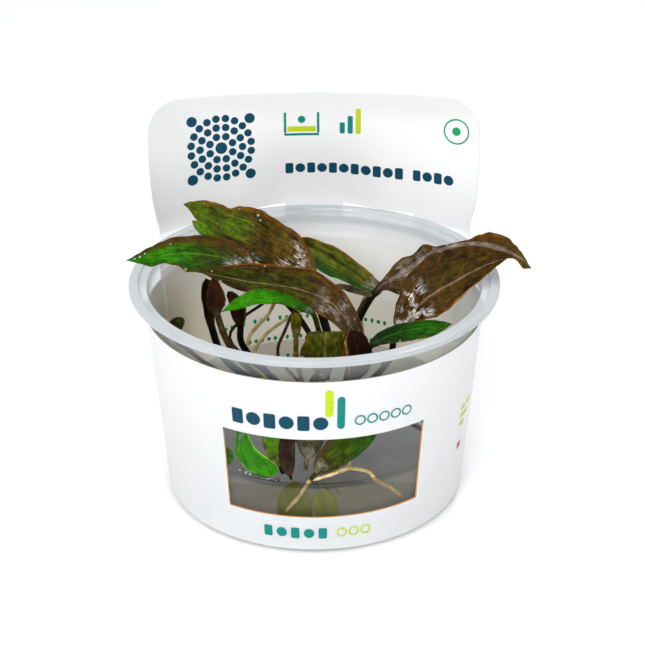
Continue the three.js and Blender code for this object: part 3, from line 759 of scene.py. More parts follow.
def leafMesh(leaf):
    spine = [Vector(point) for point in leaf["spine"]]
    start = leaf["bladeAt"] / (len(spine) - 1)
    stations = spaced(0, start, leaf["stalkRings"]) + spaced(start, 1, leaf["bladeRings"]) + [1]
    ring = [(-s, 1) for s in reversed(acrossPlaces)] + [(s, 1) for s in acrossPlaces[1:]]
    ring += [(s, -1) for s in reversed(acrossPlaces[:-1])] + [(-s, -1) for s in acrossPlaces[1:-1]]
    bladeLength = sum((splinePoint(spine, mixed(start, 1, (k + 1) / 20))
                       - splinePoint(spine, mixed(start, 1, k / 20))).length for k in range(20))
    points = []
    uvs = []
    under = []
    stem = leaf["stem"]
    face = leaf["face"] * (2 if len(leaf["face"]) == 1 else 1)
    shift = Vector((leaf["seed"] * 7.1, leaf["seed"] * 3.7, 0))
    for t in stations:
        centre = splinePoint(spine, t)
        tangent = tangentAt(spine, t, 0.0005)
        u = max(0.0, (t - start) / (1 - start))
        looks = Vector([listed([f[k] for f in face], u) for k in range(3)])
        up = (looks - tangent * looks.dot(tangent)).normalized()
        across = tangent.cross(up)
        share = bladeShape(u, leaf["peak"], leaf["tip"]) if 0 < u < 1 else 0.0
        spread = min(1.0, u * 8)
        tipEase = 1.0 if u < 0.9 else max(0.12, (1 - u) * 10)
        halfThick = mixed(stem, leaf["thick"], smoothStep(u, 0, 0.14)) * tipEase
        angle = math.radians(leaf["fold"]) * spread
        for s, top in ring:
            reach = abs(s)
            hand = 0 if s < 0 else 1
            width = leaf["width"][hand] * listed(leaf["lobes"][hand], u, lambda step: smoothStep(step, 0, 1))
            half = stem * tipEase + (width - stem * 0.5) * share
            crinkle = noise.noise(shift + Vector((u * 15, 8 * hand - 4, 0.5)))
            half *= 1 + leaf["crinkle"] * crinkle * spread
            turn = 2 * math.pi * leaf["waves"] * u + leaf["phase"] + 1.9 * hand
            lift = leaf["wave"] * spread * share * reach ** 1.6 * math.sin(turn)
            softReach = math.sqrt(reach * reach + 0.004) - 0.063  # rounds the fold at the midrib
            lift += softReach * half * math.sin(angle)
            flow = leaf["veins"] * (u - reach * half * 0.9 / bladeLength)
            relief = share * spread * reach * (1 - reach ** 3)
            lift += leaf["pleat"] * relief * math.cos(2 * math.pi * flow)
            bumps = noise.noise(shift + centre * 0.25 + Vector((s * 3, 0, 0)))
            lift += leaf["bumps"] * bumps * share * reach
            groove = math.exp(-((reach * half / leaf["grooveWidth"]) ** 2)) * spread * tipEase
            lens = math.sqrt(max(0.0, 1 - reach * reach))
            flesh = halfThick * lens * top - groove * leaf["groove"][0 if top > 0 else 1]
            points.append(centre + across * (s * half * math.cos(angle)) + up * (lift + flesh))
            uvs.append((stalkShare + (1 - stalkShare) * u if u > 0 else stalkShare * t / start, (s + 1) / 2))
            under.append(0.0 if top > 0 else 1.0)
    return points, tubeFaces(len(stations), len(ring)), uvs, under


leafLooks = {
    "brown": dict(
        along="56462a 0.2 543c0c 0.55 483204 4c3605", light="805608", dark="1a1102",
        heart=("345402", 0.4, 0.85, 0.45, 0.6), edge=("844c06", 0.07, 0.8),
        rib=("6a4c34", 0.03), vein="7a5c1c", under="3f3a14", stalk="1c0f08", paintedGloss=("c0bab2", 0.0, 0.25, 0.8),
        contrast=(0.4, 1.55)),
    "green": dict(
        along="30400f 0.2 264e06 0.6 286404 2c6a05", light="3c8608", dark="143402",
        heart=("2f8a05", 0.2, 0.95, 0.55, 0.7), edge=("5a4404", 0.05, 0.7),
        rib=("4a761a", 0.025), vein="4c8c14", under="2c5416", stalk="120e08", paintedGloss=("a4aca0", 0.0, 0.14, 0.6),
        contrast=(0.5, 1.4)),
    "olive": dict(
        along="46400e 0.3 504c0a 0.7 524c06 503c06", light="7a7410", dark="1e1804",
        heart=("466004", 0.2, 0.9, 0.4, 0.6), edge=("6f3e06", 0.08, 0.8),
        rib=("666024", 0.03), vein="76701e", under="2c4218", stalk="3c380e", paintedGloss=("a4a290", 0.0, 0.15, 0.6),
        contrast=(0.45, 1.5)),
    "dark": dict(
        along="100703 0.5 1e0d03 180a02", light="361606", dark="060301", heart=("301203", 0.2, 0.9, 0.4, 0.6),
        left=("4c2a08", 0.06, 0.7), right=("3c2006", 0.06, 0.7), rib=("341c08", 0.03), vein="381e0a",
        under="1c0c04", stalk="0e0804", paintedGloss=("5a5248", 0.0, 0.1, 0.2), contrast=(0.5, 1.5)),
}


def leafFinish(name, look):
    mat = Finish(name, {"Coat Weight": 0.32, "Coat Roughness": 0.06, "Coat IOR": 1.25,
                        "Specular IOR Level": 0.02, "IOR": 1.4})
    length, across = mat.split(mat.add("ShaderNodeUVMap", uv_map="surface").outputs[0])[:2]
    u = mat.scaled(length, 1 / (1 - stalkShare), -stalkShare / (1 - stalkShare))
    side = mat.scaled(across, 2, -1)
    reach = mat.calc("ABSOLUTE", side)

    def drawnOut(lengthwise, crosswise, slant):
        x = mat.scaled(reach, -slant, mat.times(u, lengthwise))
        sockets = {"X": x, "Y": mat.times(side, crosswise), "Z": look["seed"] * 3.7}
        vector = mat.add("ShaderNodeCombineXYZ", sockets).outputs[0]
        return mat.speckle(1.0, 5, 0.62, vector=vector, distortion=0.25)

    def over(base, factor, code, strength):
        return mat.mix(mat.times(factor, strength), base, code)

    patches = mat.speckle(150, 4, 0.6, distortion=0.4)
    patchShift = mat.calc("SUBTRACT", patches, 0.5)
    streak = drawnOut(6, 7, 1.6)
    fine = drawnOut(20, 26, 5)
    grain = mat.speckle(1500, 4, 0.65)
    # Where a ramp starts paler at the blade's base, that pale start is partly the leaf's own pale base and partly
    # painted sheen
    tone = mat.ramp(mat.scaled(patchShift, 0.3, u), look["along"])
    code, low, high, width, strength = look["heart"]
    heart = mat.times(mat.span(u, low, low + 0.15), mat.fade(u, high, high + 0.1))
    heart = mat.times(heart, mat.fade(reach, width, width + 0.35))
    tone = over(tone, mat.times(heart, mat.span(streak, 0.35, 0.6)), code, strength)
    tone = over(tone, mat.span(streak, 0.54, 0.72), look["light"], 0.7)
    for source, low, high, strength in ((streak, 0.3, 0.48, 0.8), (patches, 0.34, 0.46, 0.6), (fine, 0.36, 0.5, 0.5)):
        tone = over(tone, mat.fade(source, low, high), look["dark"], strength)

    flow = mat.scaled(patchShift, 0.8, mat.times(mat.scaled(reach, -0.28, u), look["veins"]))
    ridge = mat.times(mat.calc("PINGPONG", flow, 0.5), 2)
    vein = mat.times(mat.fade(ridge, 0.0, 0.2), mat.fade(reach, 0.7, 1.0))
    tone = over(tone, vein, look["vein"], 0.22)
    ragged = mat.scaled(mat.calc("SUBTRACT", streak, 0.5), 0.5, side)
    for key, direction in (("left", -1), ("right", 1)):
        code, width, strength = look.get(key) or look["edge"]
        edge = mat.span(mat.times(ragged, direction), 1 - width * 1.8, 1 - width * 0.3)
        tone = over(tone, edge, code, strength)
    code, width = look["rib"]
    tone = over(tone, mat.fade(reach, width, width * 2.5), code, 0.65)
    # Painted highlight: pale broken streaks near the blade's base stand in for the gloss of the wet leaf
    code, low, high, strength = look["paintedGloss"]
    paintedShine = mat.times(mat.fade(u, high, high + 0.12), mat.span(u, low - 0.02, low + 0.02))
    paintedShine = mat.times(paintedShine, mat.fade(reach, 0.6, 0.95))
    broken = mat.times(mat.span(fine, 0.44, 0.57), mat.span(mat.speckle(220, 4, 0.65), 0.46, 0.58))
    tone = over(tone, mat.times(paintedShine, broken), code, strength)
    pale = mat.mix(mat.fade(streak, 0.35, 0.6), look["under"], look["dark"])
    tone = over(tone, mat.add("ShaderNodeAttribute", attribute_name="under").outputs["Fac"], pale, 0.8)
    bark = mat.mix(mat.span(grain, 0.4, 0.7), look["stalk"], look["dark"])
    tone = mat.mix(mat.fade(length, stalkShare - 0.02, stalkShare + 0.04), tone, bark)

    mottle = mat.scaled(mat.speckle(420, 5, 0.7, distortion=0.6), 0.55, mat.times(fine, 0.45))
    relief = mat.scaled(fine, 1.4, mat.scaled(vein, -0.6, mat.times(grain, 0.35)))
    return mat.shade({
        "Base Color": mat.mix(1.0, tone, mat.span(mottle, 0.37, 0.63, *look["contrast"]), "MULTIPLY"),
        "Roughness": mat.span(grain, 0.35, 0.65, 0.4, 0.6),
        "Normal": mat.bump(relief, 0.16, 0.6),
        "Coat Normal": mat.bump(mat.scaled(fine, 1.2, mat.speckle(620, 2)), 0.25, 0.8),
    })


# A leaf's own values, over those of its look and of every leaf: widths and lobes are left and right,
# and colours stand with where they lie along or across the blade and how strong they are
leaves = {
    "leafTopLeft": dict(
        look="brown", spine=[(3, 2, 29), (4, 4, 39), (2, 7, 47), (-1, 8, 57), (-6, 9, 60.5), (-13, 10, 65),
        (-20, 11.6, 68.7), (-28, 13.4, 73), (-36, 15, 77)], face=[(0.2, -0.8, 0.5), (0, -0.75, 0.6),
        (0, -0.6, 0.8)],
        lobes=([1, 1, 0.9, 0.8, 0.75, 0.72, 0.77, 0.96, 1.1, 0.83, 0.2], [1.3, 1.2, 1.12, 1.1, 1.03, 1.05, 1.06,
        1.05, 1.05, 1.06, 1.07, 1.1, 1.12, 1.14, 1.12, 0.84, 0.96, 1.05, 1.23, 1.5, 3.2]),
        bladeAt=3, width=(5, 8), stem=1.2, fold=10, peak=0.45, wave=0.8, waves=3, phase=1.5, tip=1.1,
        along="6a5838 0.18 584612 0.45 4a3a05 0.7 4c4404 54600a", light="84600a",
        heart=("3a7004", 0.5, 0.93, 0.4, 0.85), paintedGloss=("d4ccc6", 0.0, 0.22, 0.9), rib=("5a4422", 0.015),
        left=("6a4006", 0.12, 0.8), right=("6a4006", 0.12, 0.85)),
    "leafLeft": dict(
        look="green", spine=[(-1, 0, 29), (2, 0, 36), (-2, -1, 46), (-7, -2, 54), (-15, -1, 62), (-23, 0, 67),
        (-34, 0, 69), (-43, 0, 68), (-51, 0, 67)], face=[(0, -0.75, 0.6), (0, -0.75, 0.7), (-0.2, -0.7, 0.7)],
        lobes=([1, 1, 1, 1.1, 0.95, 1.05, 0.66, 0.4, 0.62, 0.4, 0.3], [1, 1.2, 1.4, 1.3, 1.05, 1, 1.08, 1, 0.75,
        0.35, 0.2]),
        bladeAt=4, width=(5.2, 4.4), stem=0.8, fold=8, wave=0.8, waves=2.2, peak=0.42, tip=0.8,
        along="3c2c18 0.22 3a2e08 0.45 2a4205 0.75 205a04 1e5205", right=("4a3006", 0.42, 0.92),
        left=("4c4206", 0.1, 0.8), paintedGloss=("b4b8b4", 0.0, 0.2, 0.8), heart=("2a8404", 0.42, 0.9, 0.5, 0.65)),
    "leafCenter": dict(
        look="brown", spine=[(8, -10.5, 29), (9, -14, 39), (11, -15, 49), (9.4, -15, 54.6), (4.1, -14, 61),
        (-4, -12, 63.7), (-12, -10.2, 64.4), (-18, -8.5, 64.5), (-24.5, -6.5, 65.1), (-31.2, -4.6, 65.7)],
        face=[(0.5, -0.8, 0.4), (0.2, -0.9, 0.4), (0, -0.9, 0.45)],
        lobes=([0.8, 0.63, 0.63, 0.69, 0.48, 0.33, 0.35, 0.48, 0.52, 0.22, 0.1], [1, 0.67, 0.63, 0.75, 0.93,
        0.86, 0.89, 1.02, 0.98, 0.75, 0.3]),
        width=(6.4, 6), stem=1.1, fold=12, wave=0.4, peak=0.4,
        along="4e4438 0.15 4c3a22 0.4 44320a 0.7 3a2a07 302606", heart=("285004", 0.3, 0.85, 0.5, 0.55),
        paintedGloss=("a8a29c", 0.03, 0.26, 0.7), rib=("8a765a", 0.018), light="6c4606"),
    "leafSmallGreen": dict(
        look="green", spine=[(0, -5, 29), (2, -10, 40), (2.5, -15.7, 48.2), (1.1, -17, 53.9),
        (-0.6, -17.7, 59.6), (-5, -18.5, 63.2), (-9, -20, 65.4), (-13, -21, 66.3), (-17, -21.3, 65.5),
        (-24.5, -21, 61.6)], face=[(0, -0.8, 0.6)],
        lobes=([0.8, 1.15, 0.97, 0.84, 0.74, 0.86, 0.92, 0.91, 0.83, 0.81, 0.3], [0.2, 0.2, 0.36, 0.42, 0.45,
        0.48, 0.62, 0.82, 0.97, 0.92, 0.6]),
        bladeAt=4, width=(2.2, 2.2), stem=0.7, along="1a3006 0.25 266404 328004",
        light="4a9c08", dark="184a04", stalk="2e2009", right=("6a5a08", 0.06, 0.8)),
    "leafBack": dict(
        look="olive", spine=[(12, -2, 29), (10.8, 5, 41), (13.5, 7.5, 49.5), (18.2, 8.5, 53.7), (15, 9.5, 55.3),
        (10, 12, 58.4), (4.5, 14.5, 61.5), (-0.6, 17, 63.2), (-4.6, 19, 64.8)], face=[(0, -0.55, 0.8)],
        lobes=([1.3, 1.3, 0.95, 1.06, 1.22, 1.42, 1.5, 1.24, 1, 0.5, 0.2], [1.1, 1.1, 1.25, 1.07, 0.98, 0.95,
        0.89, 0.8, 0.77, 0.74, 0.7]),
        bladeAt=3, width=(4.2, 2.8), stem=0.8, fold=14, tip=0.7, left=("1a440a", 0.4, 0.95),
        right=("8e5e0c", 0.14, 0.85), dark="1c1a04", along="3c4a0a 0.3 4c4e08 0.7 443e06 483406",
        # This leaf's black midrib line is a painted shadow in the fold between the blade's halves
        rib=("0c1004", 0.07)),
    "leafRightBack": dict(
        look="brown", spine=[(11, -5.5, 29), (11, 2, 43), (17, 3, 56), (24, 4, 61), (33, 5, 67), (42, 4, 70),
        (50, 2, 69), (56, 0, 67), (59, 0, 64)], face=[(0.2, -0.7, 0.6), (0.2, -0.65, 0.7), (0.5, -0.6, 0.7),
        (0.8, -0.5, 0.5)],
        lobes=([0.2, 0.2, 0.59, 0.88, 0.82, 0.45, 0.6, 0.08, 0.05, 0.05, 0.08, 0.35, 0.66, 0.78, 0.81, 0.55,
        0.25, 0.12, 0.1, 0.1, 0.1], [0.6, 1.9, 2, 1.4, 1.1, 1, 0.9, 0.6, 0.2, 0.5, 0.3]),
        width=(5.5, 6), stem=0.9, wave=0.5, waves=4, tip=0.7,
        along="524030 0.25 4a340e 0.6 482f06 4e3606", light="7e4e08", rib=("84766c", 0.09),
        right=("3e600a", 0.08, 0.7), heart=("4a5a06", 0.7, 0.95, 0.6, 0.5), stalk="200e06",
        paintedGloss=("a8a09c", 0.05, 0.42, 0.5)),
    "leafRightFront": dict(
        look="brown", spine=[(11, -9, 29), (20, -10, 41), (21.5, -10, 48), (24.5, -10, 53.5), (30.3, -9, 59.6),
        (38, -7, 63.6), (45, -5.5, 67), (52.5, -3, 68.8)], face=[(0.4, -0.7, 0.5), (0.3, -0.7, 0.6)],
        lobes=([0.8, 0.72, 0.76, 0.93, 0.96, 0.99, 0.96, 0.92, 0.86, 0.81, 0.9], [0.2, 0.3, 0.84, 1.09, 1.01,
        0.84, 0.66, 0.64, 0.5, 0.2, 0.1]),
        bladeAt=2.5, width=(9, 5.4), stem=0.9, wave=0.4, peak=0.42, tip=0.8,
        along="5c463c 0.15 4a3212 0.5 422b07 382503", light="704407", heart=("3c4a05", 0.3, 0.8, 0.5, 0.3),
        left=("4c380a", 0.05, 0.3), right=("8e5a10", 0.08, 0.8), rib=("8a6a60", 0.022),
        paintedGloss=("f4eeea", 0.0, 0.27, 1.0)),
    "leafRightLow": dict(
        look="green", spine=[(9.5, -13, 29), (12, -18, 43), (15, -20, 51), (22, -20.5, 55), (29, -21.5, 57),
        (36, -22, 58.3)], face=[(0, -0.5, 0.85)],
        lobes=([1.3, 1.2, 1.05, 0.92, 0.85, 0.8, 0.77, 0.74, 0.65, 0.4, 0.3], [0.6, 0.7, 0.8, 0.9, 1, 1, 1, 1,
        1, 0.8, 0.5]),
        width=(2.4, 3.6), stem=0.8, fold=12, peak=0.42, tip=0.7,
        along="1a2818 0.2 0c2805 0.6 154004 225204", light="2a6604", dark="051202",
        paintedGloss=("7c8c7c", 0.0, 0.16, 0.6), heart=("1e6a04", 0.4, 0.9, 0.5, 0.5)),
    "leafFrontFolded": dict(
        look="olive", spine=[(2, -17, 29), (2, -22, 42), (2.6, -23.4, 49.5), (2.9, -23, 54.3), (3, -21.4, 55.6),
        (3.1, -19.4, 54.3), (3.2, -18.4, 50.5)], face=[(0, -1, 0.1), (0, -1, 0.1), (0, -1, 0.35), (0, 0, 1),
        (0, 0.9, 0.5), (0, 1, 0.25)],
        lobes=([1, 2.3, 1.35, 0.88, 0.85, 0.9], [1, 2.1, 1.3, 1.04, 1, 1]),
        bladeAt=1, width=(5.2, 4.9), stem=0.8, fold=0, peak=0.6, tip=0.4,
        along="2a2603 0.3 363403 0.6 423e03 363206", light="626008", dark="1e0c04",
        heart=("3a4804", 0.05, 0.6, 0.5, 0.6)),
    "leafFrontRed": dict(
        look="dark", spine=[(6, -18, 29), (10, -23.5, 42), (11.4, -25.4, 47.5), (11.2, -25.4, 52.5),
        (9.4, -25, 58)], face=[(0.2, -0.9, 0.3)],
        lobes=([1, 1, 1, 0.9, 0.7], [1, 1.1, 1.1, 1, 0.8]),
        bladeAt=1, width=(3, 3.1), stem=0.8, fold=10, peak=0.55, tip=0.6, along="0e0502 0.5 160703 200c04",
        left=("96682c", 0.13, 0.95), light="2a0e04"),
    "leafLeftDark": dict(
        look="dark", spine=[(-13, -3, 29), (-24, -8, 40), (-28, -8, 51), (-29, -8.5, 60), (-29, -8.5, 65.5)],
        face=[(0.6, -0.8, 0.3)],
        width=(1.3, 1.8), stem=1, fold=10),
    "leafLeftRed": dict(
        look="dark", spine=[(-11, -6, 29), (-22, -13, 46), (-26, -13, 57), (-26, -13, 62), (-27, -11, 67)],
        width=(2.3, 2), stem=0.9, fold=5, peak=0.42, tip=1.1, along="2c200a 0.3 281304 261103",
        right=("4e460e", 0.14, 0.9), stalk="50401a", dark="140802"),
    "leafLeftNarrow": dict(
        look="dark", spine=[(-8, -5, 29), (-19, -10, 45), (-20, -11, 53), (-21, -10.5, 59),
        (-23.2, -9.6, 62.2)],
        width=(1.7, 1.8), stem=0.9, fold=5, peak=0.4, tip=1.3, right=("4e4a10", 0.2, 0.9),
        along="1a1004 1c0c04"),
    "leafLeftTip": dict(
        look="dark", spine=[(-14.5, -5.5, 29), (-27, -14, 41), (-34.6, -18.2, 50), (-36.8, -19.5, 54.5),
        (-36.2, -19.7, 59.6)], face=[(0.5, -0.6, 0.6)],
        width=(2, 2.1), stem=0.6, fold=8, peak=0.65, tip=0.45, along="1c0e05 0.6 1e2c08 28360a",
        light="3e4c0e", dark="100a03", left=("2a1206", 0.5, 0.8)),
    "leafBehindGreen": dict(
        look="green", spine=[(-12, 2, 29), (-23, -4, 44), (-20, -2, 50), (-14, 2, 53), (-8, 4, 58),
        (-14, 5, 64), (-25.5, 8, 69.4), (-33.4, 9.5, 74.4)], face=[(0, -0.5, 0.8)],
        bladeAt=5, width=(2.2, 1.8), stem=0.42, fold=5, tip=0.8,
        along="180e05 0.45 201606 0.62 46580a 5a7a10", light="7c9014", dark="1c1c04", stalk="2a180c",
        heart=("5c900c", 0.65, 0.97, 0.5, 0.6)),
    "leafBackDark": dict(
        look="dark", spine=[(-3, -3, 29), (-10, -5, 40), (-8, -5.5, 48.5), (-4, -4.5, 55.5), (5, -2, 59.5),
        (10, -1, 58.5), (16, 0, 56)], face=[(0, -0.5, 0.8)],
        bladeAt=4, width=(0.9, 0.9), stem=0.45, fold=5, tip=0.8, stalk="4a3220", light="6a6a48",
        along="4a4a30 56562f"),
    "leafYoung": dict(
        look="olive", spine=[(-3, -6, 29), (-5, -11, 43), (-5, -12, 50), (-5, -12, 54), (-5.2, -12, 57)],
        width=(1.2, 1.2), stem=0.7, fold=20, peak=0.4, tip=0.8, along="6e5e16 74641a",
        light="9a8428", stalk="7a6a20"),
    "leafWindowGreen": dict(
        look="green", spine=[(-9, -8.5, 29), (-14, -22, 42), (-18.2, -33, 42.5), (-19, -35.6, 36.5),
        (-18.2, -36, 31), (-16.6, -36.6, 27.3), (-13.4, -37.6, 24.9), (-9.8, -38.7, 23.4)],
        face=[(-0.4, -0.9, 0.2)],
        lobes=([1, 1], [0.8, 1, 1.05, 0.95, 0.75, 0.55]),
        bladeAt=3, width=(2, 4), stem=0.7, fold=4, peak=0.6, tip=0.8, along="256c06 2e7c08", light="64b81c",
        dark="154604", contrast=(0.6, 1.35), left=("9ae23c", 0.07, 0.9), right=("7ac82c", 0.05, 0.8),
        stalk="307412"),
    "leafWindowBrown": dict(
        look="olive", spine=[(-1.2, -39.9, 21.8), (1.8, -39.8, 25.8), (6.5, -39.3, 30.3), (12, -37.9, 34.3),
        (18, -34.9, 39.3)], face=[(0, -0.9, 0.3)],
        bladeAt=0.5, width=(4, 3.6), stem=0.6, along="4c3614 0.3 3a3c0a 0.6 265006 286006",
        light="447008", vein="3c5a10", rib=("3c5014", 0.02), dark="1c1a04", left=("4a2e14", 0.3, 0.8),
        right=("2a3808", 0.05, 0.5)),
    "leafWindowPale": dict(
        look="olive", spine=[(-2.6, -35, 22), (-1.8, -35.4, 29), (-1.4, -35, 36), (-1, -33, 43)],
        bladeAt=0.5, width=(4, 4.4), stem=0.6, peak=0.55, along="524c3a 5a5542", light="726c54",
        dark="302c20", stalk="8a7a4c", heart=("4e5838", 0.2, 0.9, 0.5, 0.5), edge=("6c685a", 0.05, 0.6)),
    "leafWindowSpeckled": dict(
        look="green", spine=[(-8.6, -36.8, 22), (-9.8, -37.2, 27), (-10.4, -37, 33), (-10.2, -35.2, 40)],
        bladeAt=0.5, width=(3.2, 3.2), stem=0.6, peak=0.6, along="4e5c12 5a6a14", light="9cae2c",
        dark="281a0c", right=("321a12", 0.42, 0.95), contrast=(0.4, 1.7)),
    "leafWindowLeft": dict(
        look="green", spine=[(-28, -20, 22.3), (-28.6, -26, 24), (-25.4, -30.9, 24.6), (-21.8, -33.7, 24.4)],
        face=[(-0.7, -0.6, 0.4), (-0.5, -0.8, 0.3)],
        bladeAt=1, width=(2.1, 2.1), stem=0.6, peak=0.6, tip=0.6, along="357a0e 3f8a12", light="5cae1c"),
    "leafWindowDark": dict(
        look="dark", spine=[(-6.4, -38.6, 21.2), (-7.2, -38.4, 25), (-7.4, -37.6, 31), (-6.2, -36, 38)],
        bladeAt=0.3, width=(2.1, 2), stem=0.4, fold=8, along="3a2c22 322820", light="5a4c3c", dark="1c1410"),
    "gelBladeLeft": dict(
        look="olive", spine=[(-4.4, -37.6, 3.6), (-5, -38.2, 9), (-5.8, -38.8, 15), (-5.6, -39.4, 21.2)],
        bladeAt=0.2, width=(4.6, 4.6), stem=0.3, fold=8, peak=0.45, tip=0.8, along="7e8c1c 626818", light="8a9820",
        dark="565c16", contrast=(0.8, 1.2), edge=("5a6024", 0.2, 0.5)),
    "gelBladeRight": dict(
        look="olive", spine=[(3.4, -37.8, 3.6), (3, -38.4, 9), (2.4, -38.9, 14), (1.6, -39.4, 18.6)],
        bladeAt=0.2, width=(3, 3.2), stem=0.3, fold=8, tip=0.7, along="a2ac10 74820f", light="aab418",
        dark="6c7410", contrast=(0.8, 1.2), edge=("6c7420", 0.2, 0.5)),
}


sceneOnly = ("leafWindowDark", "gelBladeLeft", "gelBladeRight")
surfaces = {}


def makeLeaves():
    for seed, (name, own) in enumerate(leaves.items()):
        leaf = {**leafBase, **leafLooks[own["look"]], "seed": seed + 1, **own}
        points, faces, uvs, under = leafMesh(leaf)
        node = "".join("_" + letter.lower() if letter.isupper() else letter for letter in name)
        nodes = [] if name in sceneOnly else [node]
        mat = leafFinish(name + "Skin", leaf)
        makeObject(name, points, faces, [mat], own["look"] + "_leaf", nodes, uvs, under)
        surfaces[name] = points
    print("leaves made")


# Crowns and roots
crowns = [(-10, -1, 3.0), (0, -1.5, 2.6), (8, -7, 3.0), (4, -17, 2.0)]
crownShape = dict(height=7.5, bottomZ=21.0, sides=28, lumps=0.16)
rootShape = dict(radius=0.5, lumps=0.25, sides=10, steps=60)
roots = [
    [(-12, 3, 22.5), (-18, 10, 26), (-19, 15, 35), (-13, 18, 42), (-10, 19, 49)],
    [(-6, 3, 22.5), (-17, 14, 27), (-15, 20, 33), (-5, 22, 40), (3, 20, 44)],
    [(12, -1, 22.5), (14, 12, 33), (13, 15, 44), (15, 16, 50), (15, 15, 54)],
    [(4, -22, 22.5), (9, -32, 22.6), (7.5, -38, 23.4), (6, -40, 24.3), (9, -39.9, 25.2),
     (13, -38.5, 23.6), (15.4, -37.4, 21.6)],
]
strands = [  # name, slot, radius, path
    ("gelStalk", "root", 0.55, [(-1.3, -39.9, 21.9), (-2.9, -39.8, 19), (-4.6, -39.5, 16.1), (-8.2, -38.5, 10.9)]),
    ("gelRoot", "root", 0.55, [(14.4, -37.9, 22.4), (16.3, -37.2, 19.7), (20.1, -34.8, 15.9), (23.8, -31.9, 10.7)]),
    ("gelRootNear", "root", 0.45, [(-1.3, -39.8, 21.6), (1, -40, 22.3), (4.2, -40, 23.4), (6.3, -40, 24.3)]),
    ("gelCurl", "gel", 0.3, [(2.2, -39.6, 19.6), (3.4, -39.8, 18.4), (4.8, -39.5, 18.6), (6.4, -39.2, 17.4)]),
    # A dark line along the gel's edge under the green leaf: the meniscus, with painted shade where the leaf meets the
    # gel
    ("gelEdgeShadeLine", "gel", 0.5, [(-20.4, -35.6, 22.9), (-18.4, -36.7, 22.2), (-15.1, -38.1, 21.7), (-12, -39.1, 21.4),
                             (-9.2, -39.9, 21.6)]),
]
drops = {  # on each leaf: place along the blade, place across it from -1 to 1, radius
    "leafTopLeft": [(0.58, 0.78, 0.363), (0.54, 0.74, 0.297), (0.7, 0.86, 0.198)],
    "leafLeft": [(0.88, 0.25, 0.33), (0.92, 0.1, 0.264), (0.84, 0.5, 0.264), (0.52, -0.88, 0.33), (0.62, 0.6, 0.231)],
    "leafCenter": [(0.92, 0.55, 0.264), (0.86, -0.8, 0.264), (0.6, 0.9, 0.231)],
    "leafRightLow": [(0.35, 0.85, 0.297)],
    "leafRightFront": [(0.3, -0.5, 0.264)],
    "leafRightBack": [(0.4, -0.6, 0.264)],
    "leafFrontFolded": [(0.12, -0.6, 0.297), (0.1, -0.3, 0.33), (0.11, 0.05, 0.264), (0.1, 0.4, 0.33),
                        (0.13, 0.7, 0.231)],
}


def dropFinish():
    mat = Finish("waterDrop", {"IOR": 1.333, "Transmission Weight": 0.6})
    return mat.shade({"Base Color": "f4f8f8", "Roughness": mat.span(mat.speckle(1200, 2), 0.3, 0.7, 0.04, 0.1)})


def addDrop(points, faces, skin, along, across, radius):
    middle = len(acrossPlaces) - 1
    count = 4 * middle
    first = (leafBase["stalkRings"] + round(along * leafBase["bladeRings"])) * count
    k = min(range(middle), key=lambda i: abs(acrossPlaces[i] - abs(across)))
    top = middle + k if across > 0 else middle - k
    here = skin[first + top]
    outward = (skin[first + count + top] - here).cross(skin[first + top + 1] - here).normalized()
    if (here - skin[first + count - top]).dot(outward) < 0:
        outward = -outward
    turn = outward.to_track_quat("Z", "Y")
    flat = [(0, -0.15, 0), (radius, -0.1, 0.1), (radius * 0.9, radius * 0.35, 0.2), (0, radius * 0.5, 0)]
    dome, sides = turned(roundedProfile(flat), 14)
    faces += [tuple(len(points) + corner for corner in side) for side in sides]
    points += [turn @ point + here for point in dome]


def makeDrops():
    points = []
    faces = []
    for name, spots in drops.items():
        for spot in spots:
            addDrop(points, faces, surfaces[name], *spot)
    makeObject("waterDrops", points, faces, [dropFinish()], "gel")
    print("drops made")


# Fibrous skins: coat and its roughness, speckle, its span, two colours, roughness, bump
fibreSkins = {
    # The light speckle of this dark wet finish is painted glints
    "darkWithPaintedGlints": (1.0, 0.04, (900, 3, 0.6), (0.58, 0.7), "161612", "c8ccd0", 0.3, (0.2, 0.8)),
    "crownSkin": (0.3, 0.3, (700, 5, 0.7, None, 1.2), (0.35, 0.65), "3a2f12", "857238", 0.55, (0.4, 0.8)),
    "rootSkin": (0.5, 0.2, (500, 4, 0.6), (0.3, 0.7), "8f7434", "c9b06c", 0.45, (0.15, 0.6)),
    "gelRootSkin": (0.5, 0.2, (500, 4, 0.6), (0.3, 0.7), "c09c58", "fce0a4", 0.45, (0.15, 0.6)),
}


def fibreFinish(name):
    coat, coatRough, grain, reach, dark, light, rough, relief = fibreSkins[name]
    mat = Finish(name, {"Coat Weight": coat, "Coat Roughness": coatRough, "Roughness": rough})
    fibre = mat.speckle(*grain)
    base = mat.mix(mat.span(fibre, *reach), dark, light)
    return mat.shade({"Base Color": base, "Normal": mat.bump(fibre, *relief)})


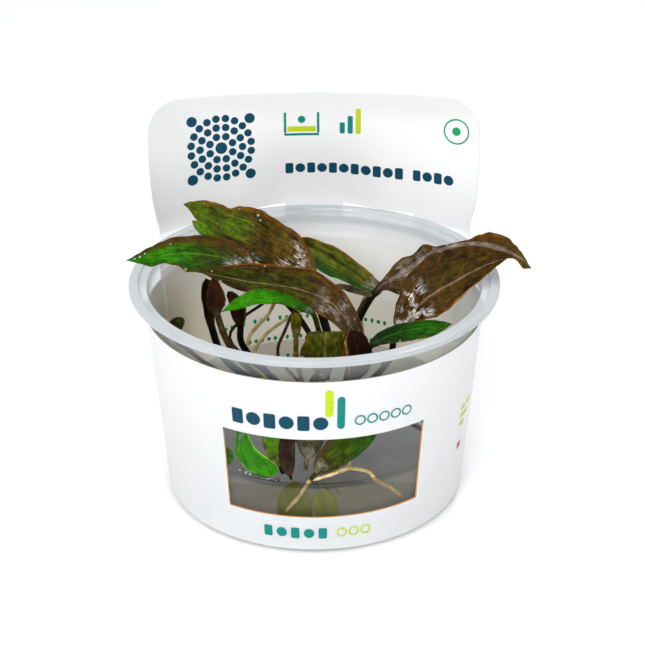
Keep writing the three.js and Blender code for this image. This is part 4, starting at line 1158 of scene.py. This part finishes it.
def tubeAlong(path, radius, seed):
    sides, steps = rootShape["sides"], rootShape["steps"]
    route = [Vector(point) for point in path]
    points = []
    up = Vector((0.2, 0.1, 1))
    for i in range(steps + 1):
        t = i / steps
        tangent = tangentAt(route, t, 0.001)
        side = tangent.cross(up).normalized()
        up = side.cross(tangent)
        thick = radius * (1 + rootShape["lumps"] * noise.noise(Vector((t * 9, seed * 5.3, 0))))
        thick *= math.sqrt(min(1, (1 - t) * 12 + 0.05)) * math.sqrt(min(1, t * 12 + 0.05))
        for k in range(sides):
            turn = 2 * math.pi * k / sides
            points.append(splinePoint(route, t) + side * (thick * math.cos(turn)) + up * (thick * math.sin(turn)))
    return points, tubeFaces(steps + 1, sides)


def makeCrownsAndRoots():
    skin = fibreFinish("crownSkin")
    height = crownShape["height"]
    for i, (x, y, radius) in enumerate(crowns):
        corners = [(0, 0, 0), (radius * 0.8, 0, 0.6), (radius, height * 0.3, 1.2),
                   (radius * 0.85, height * 0.65, 1.0), (radius * 0.5, height * 0.95, 0.6), (0, height, 0)]

        def lumpy(point, shift=i * 3.1):
            swell = 1 + crownShape["lumps"] * noise.noise(point * 0.7 + Vector((shift, 0, 0)))
            return Vector((point.x * swell, point.y * swell, point.z))

        points, faces = turned(roundedProfile(corners), crownShape["sides"], lumpy)
        foot = Vector((x, y, crownShape["bottomZ"]))
        makeObject(f"crown{i + 1}", [point + foot for point in points], faces, [skin], "crown", [f"crown_{i + 1}"])
    skin = fibreFinish("rootSkin")
    for i, path in enumerate(roots):
        makeObject(f"root{i + 1}", *tubeAlong(path, rootShape["radius"], i), [skin], "root", [f"root_{i + 1}"])
    skins = {"root": fibreFinish("gelRootSkin"), "gel": fibreFinish("darkWithPaintedGlints")}
    for i, (name, slot, radius, path) in enumerate(strands):
        makeObject(name, *tubeAlong(path, radius, i + 9), [skins[slot]], slot)
    print("crowns and roots made")


makeStudio()
makeCup()
makeSleeve()
makeGel()
makePrints()
makeLeaves()
makeCrownsAndRoots()
makeDrops()
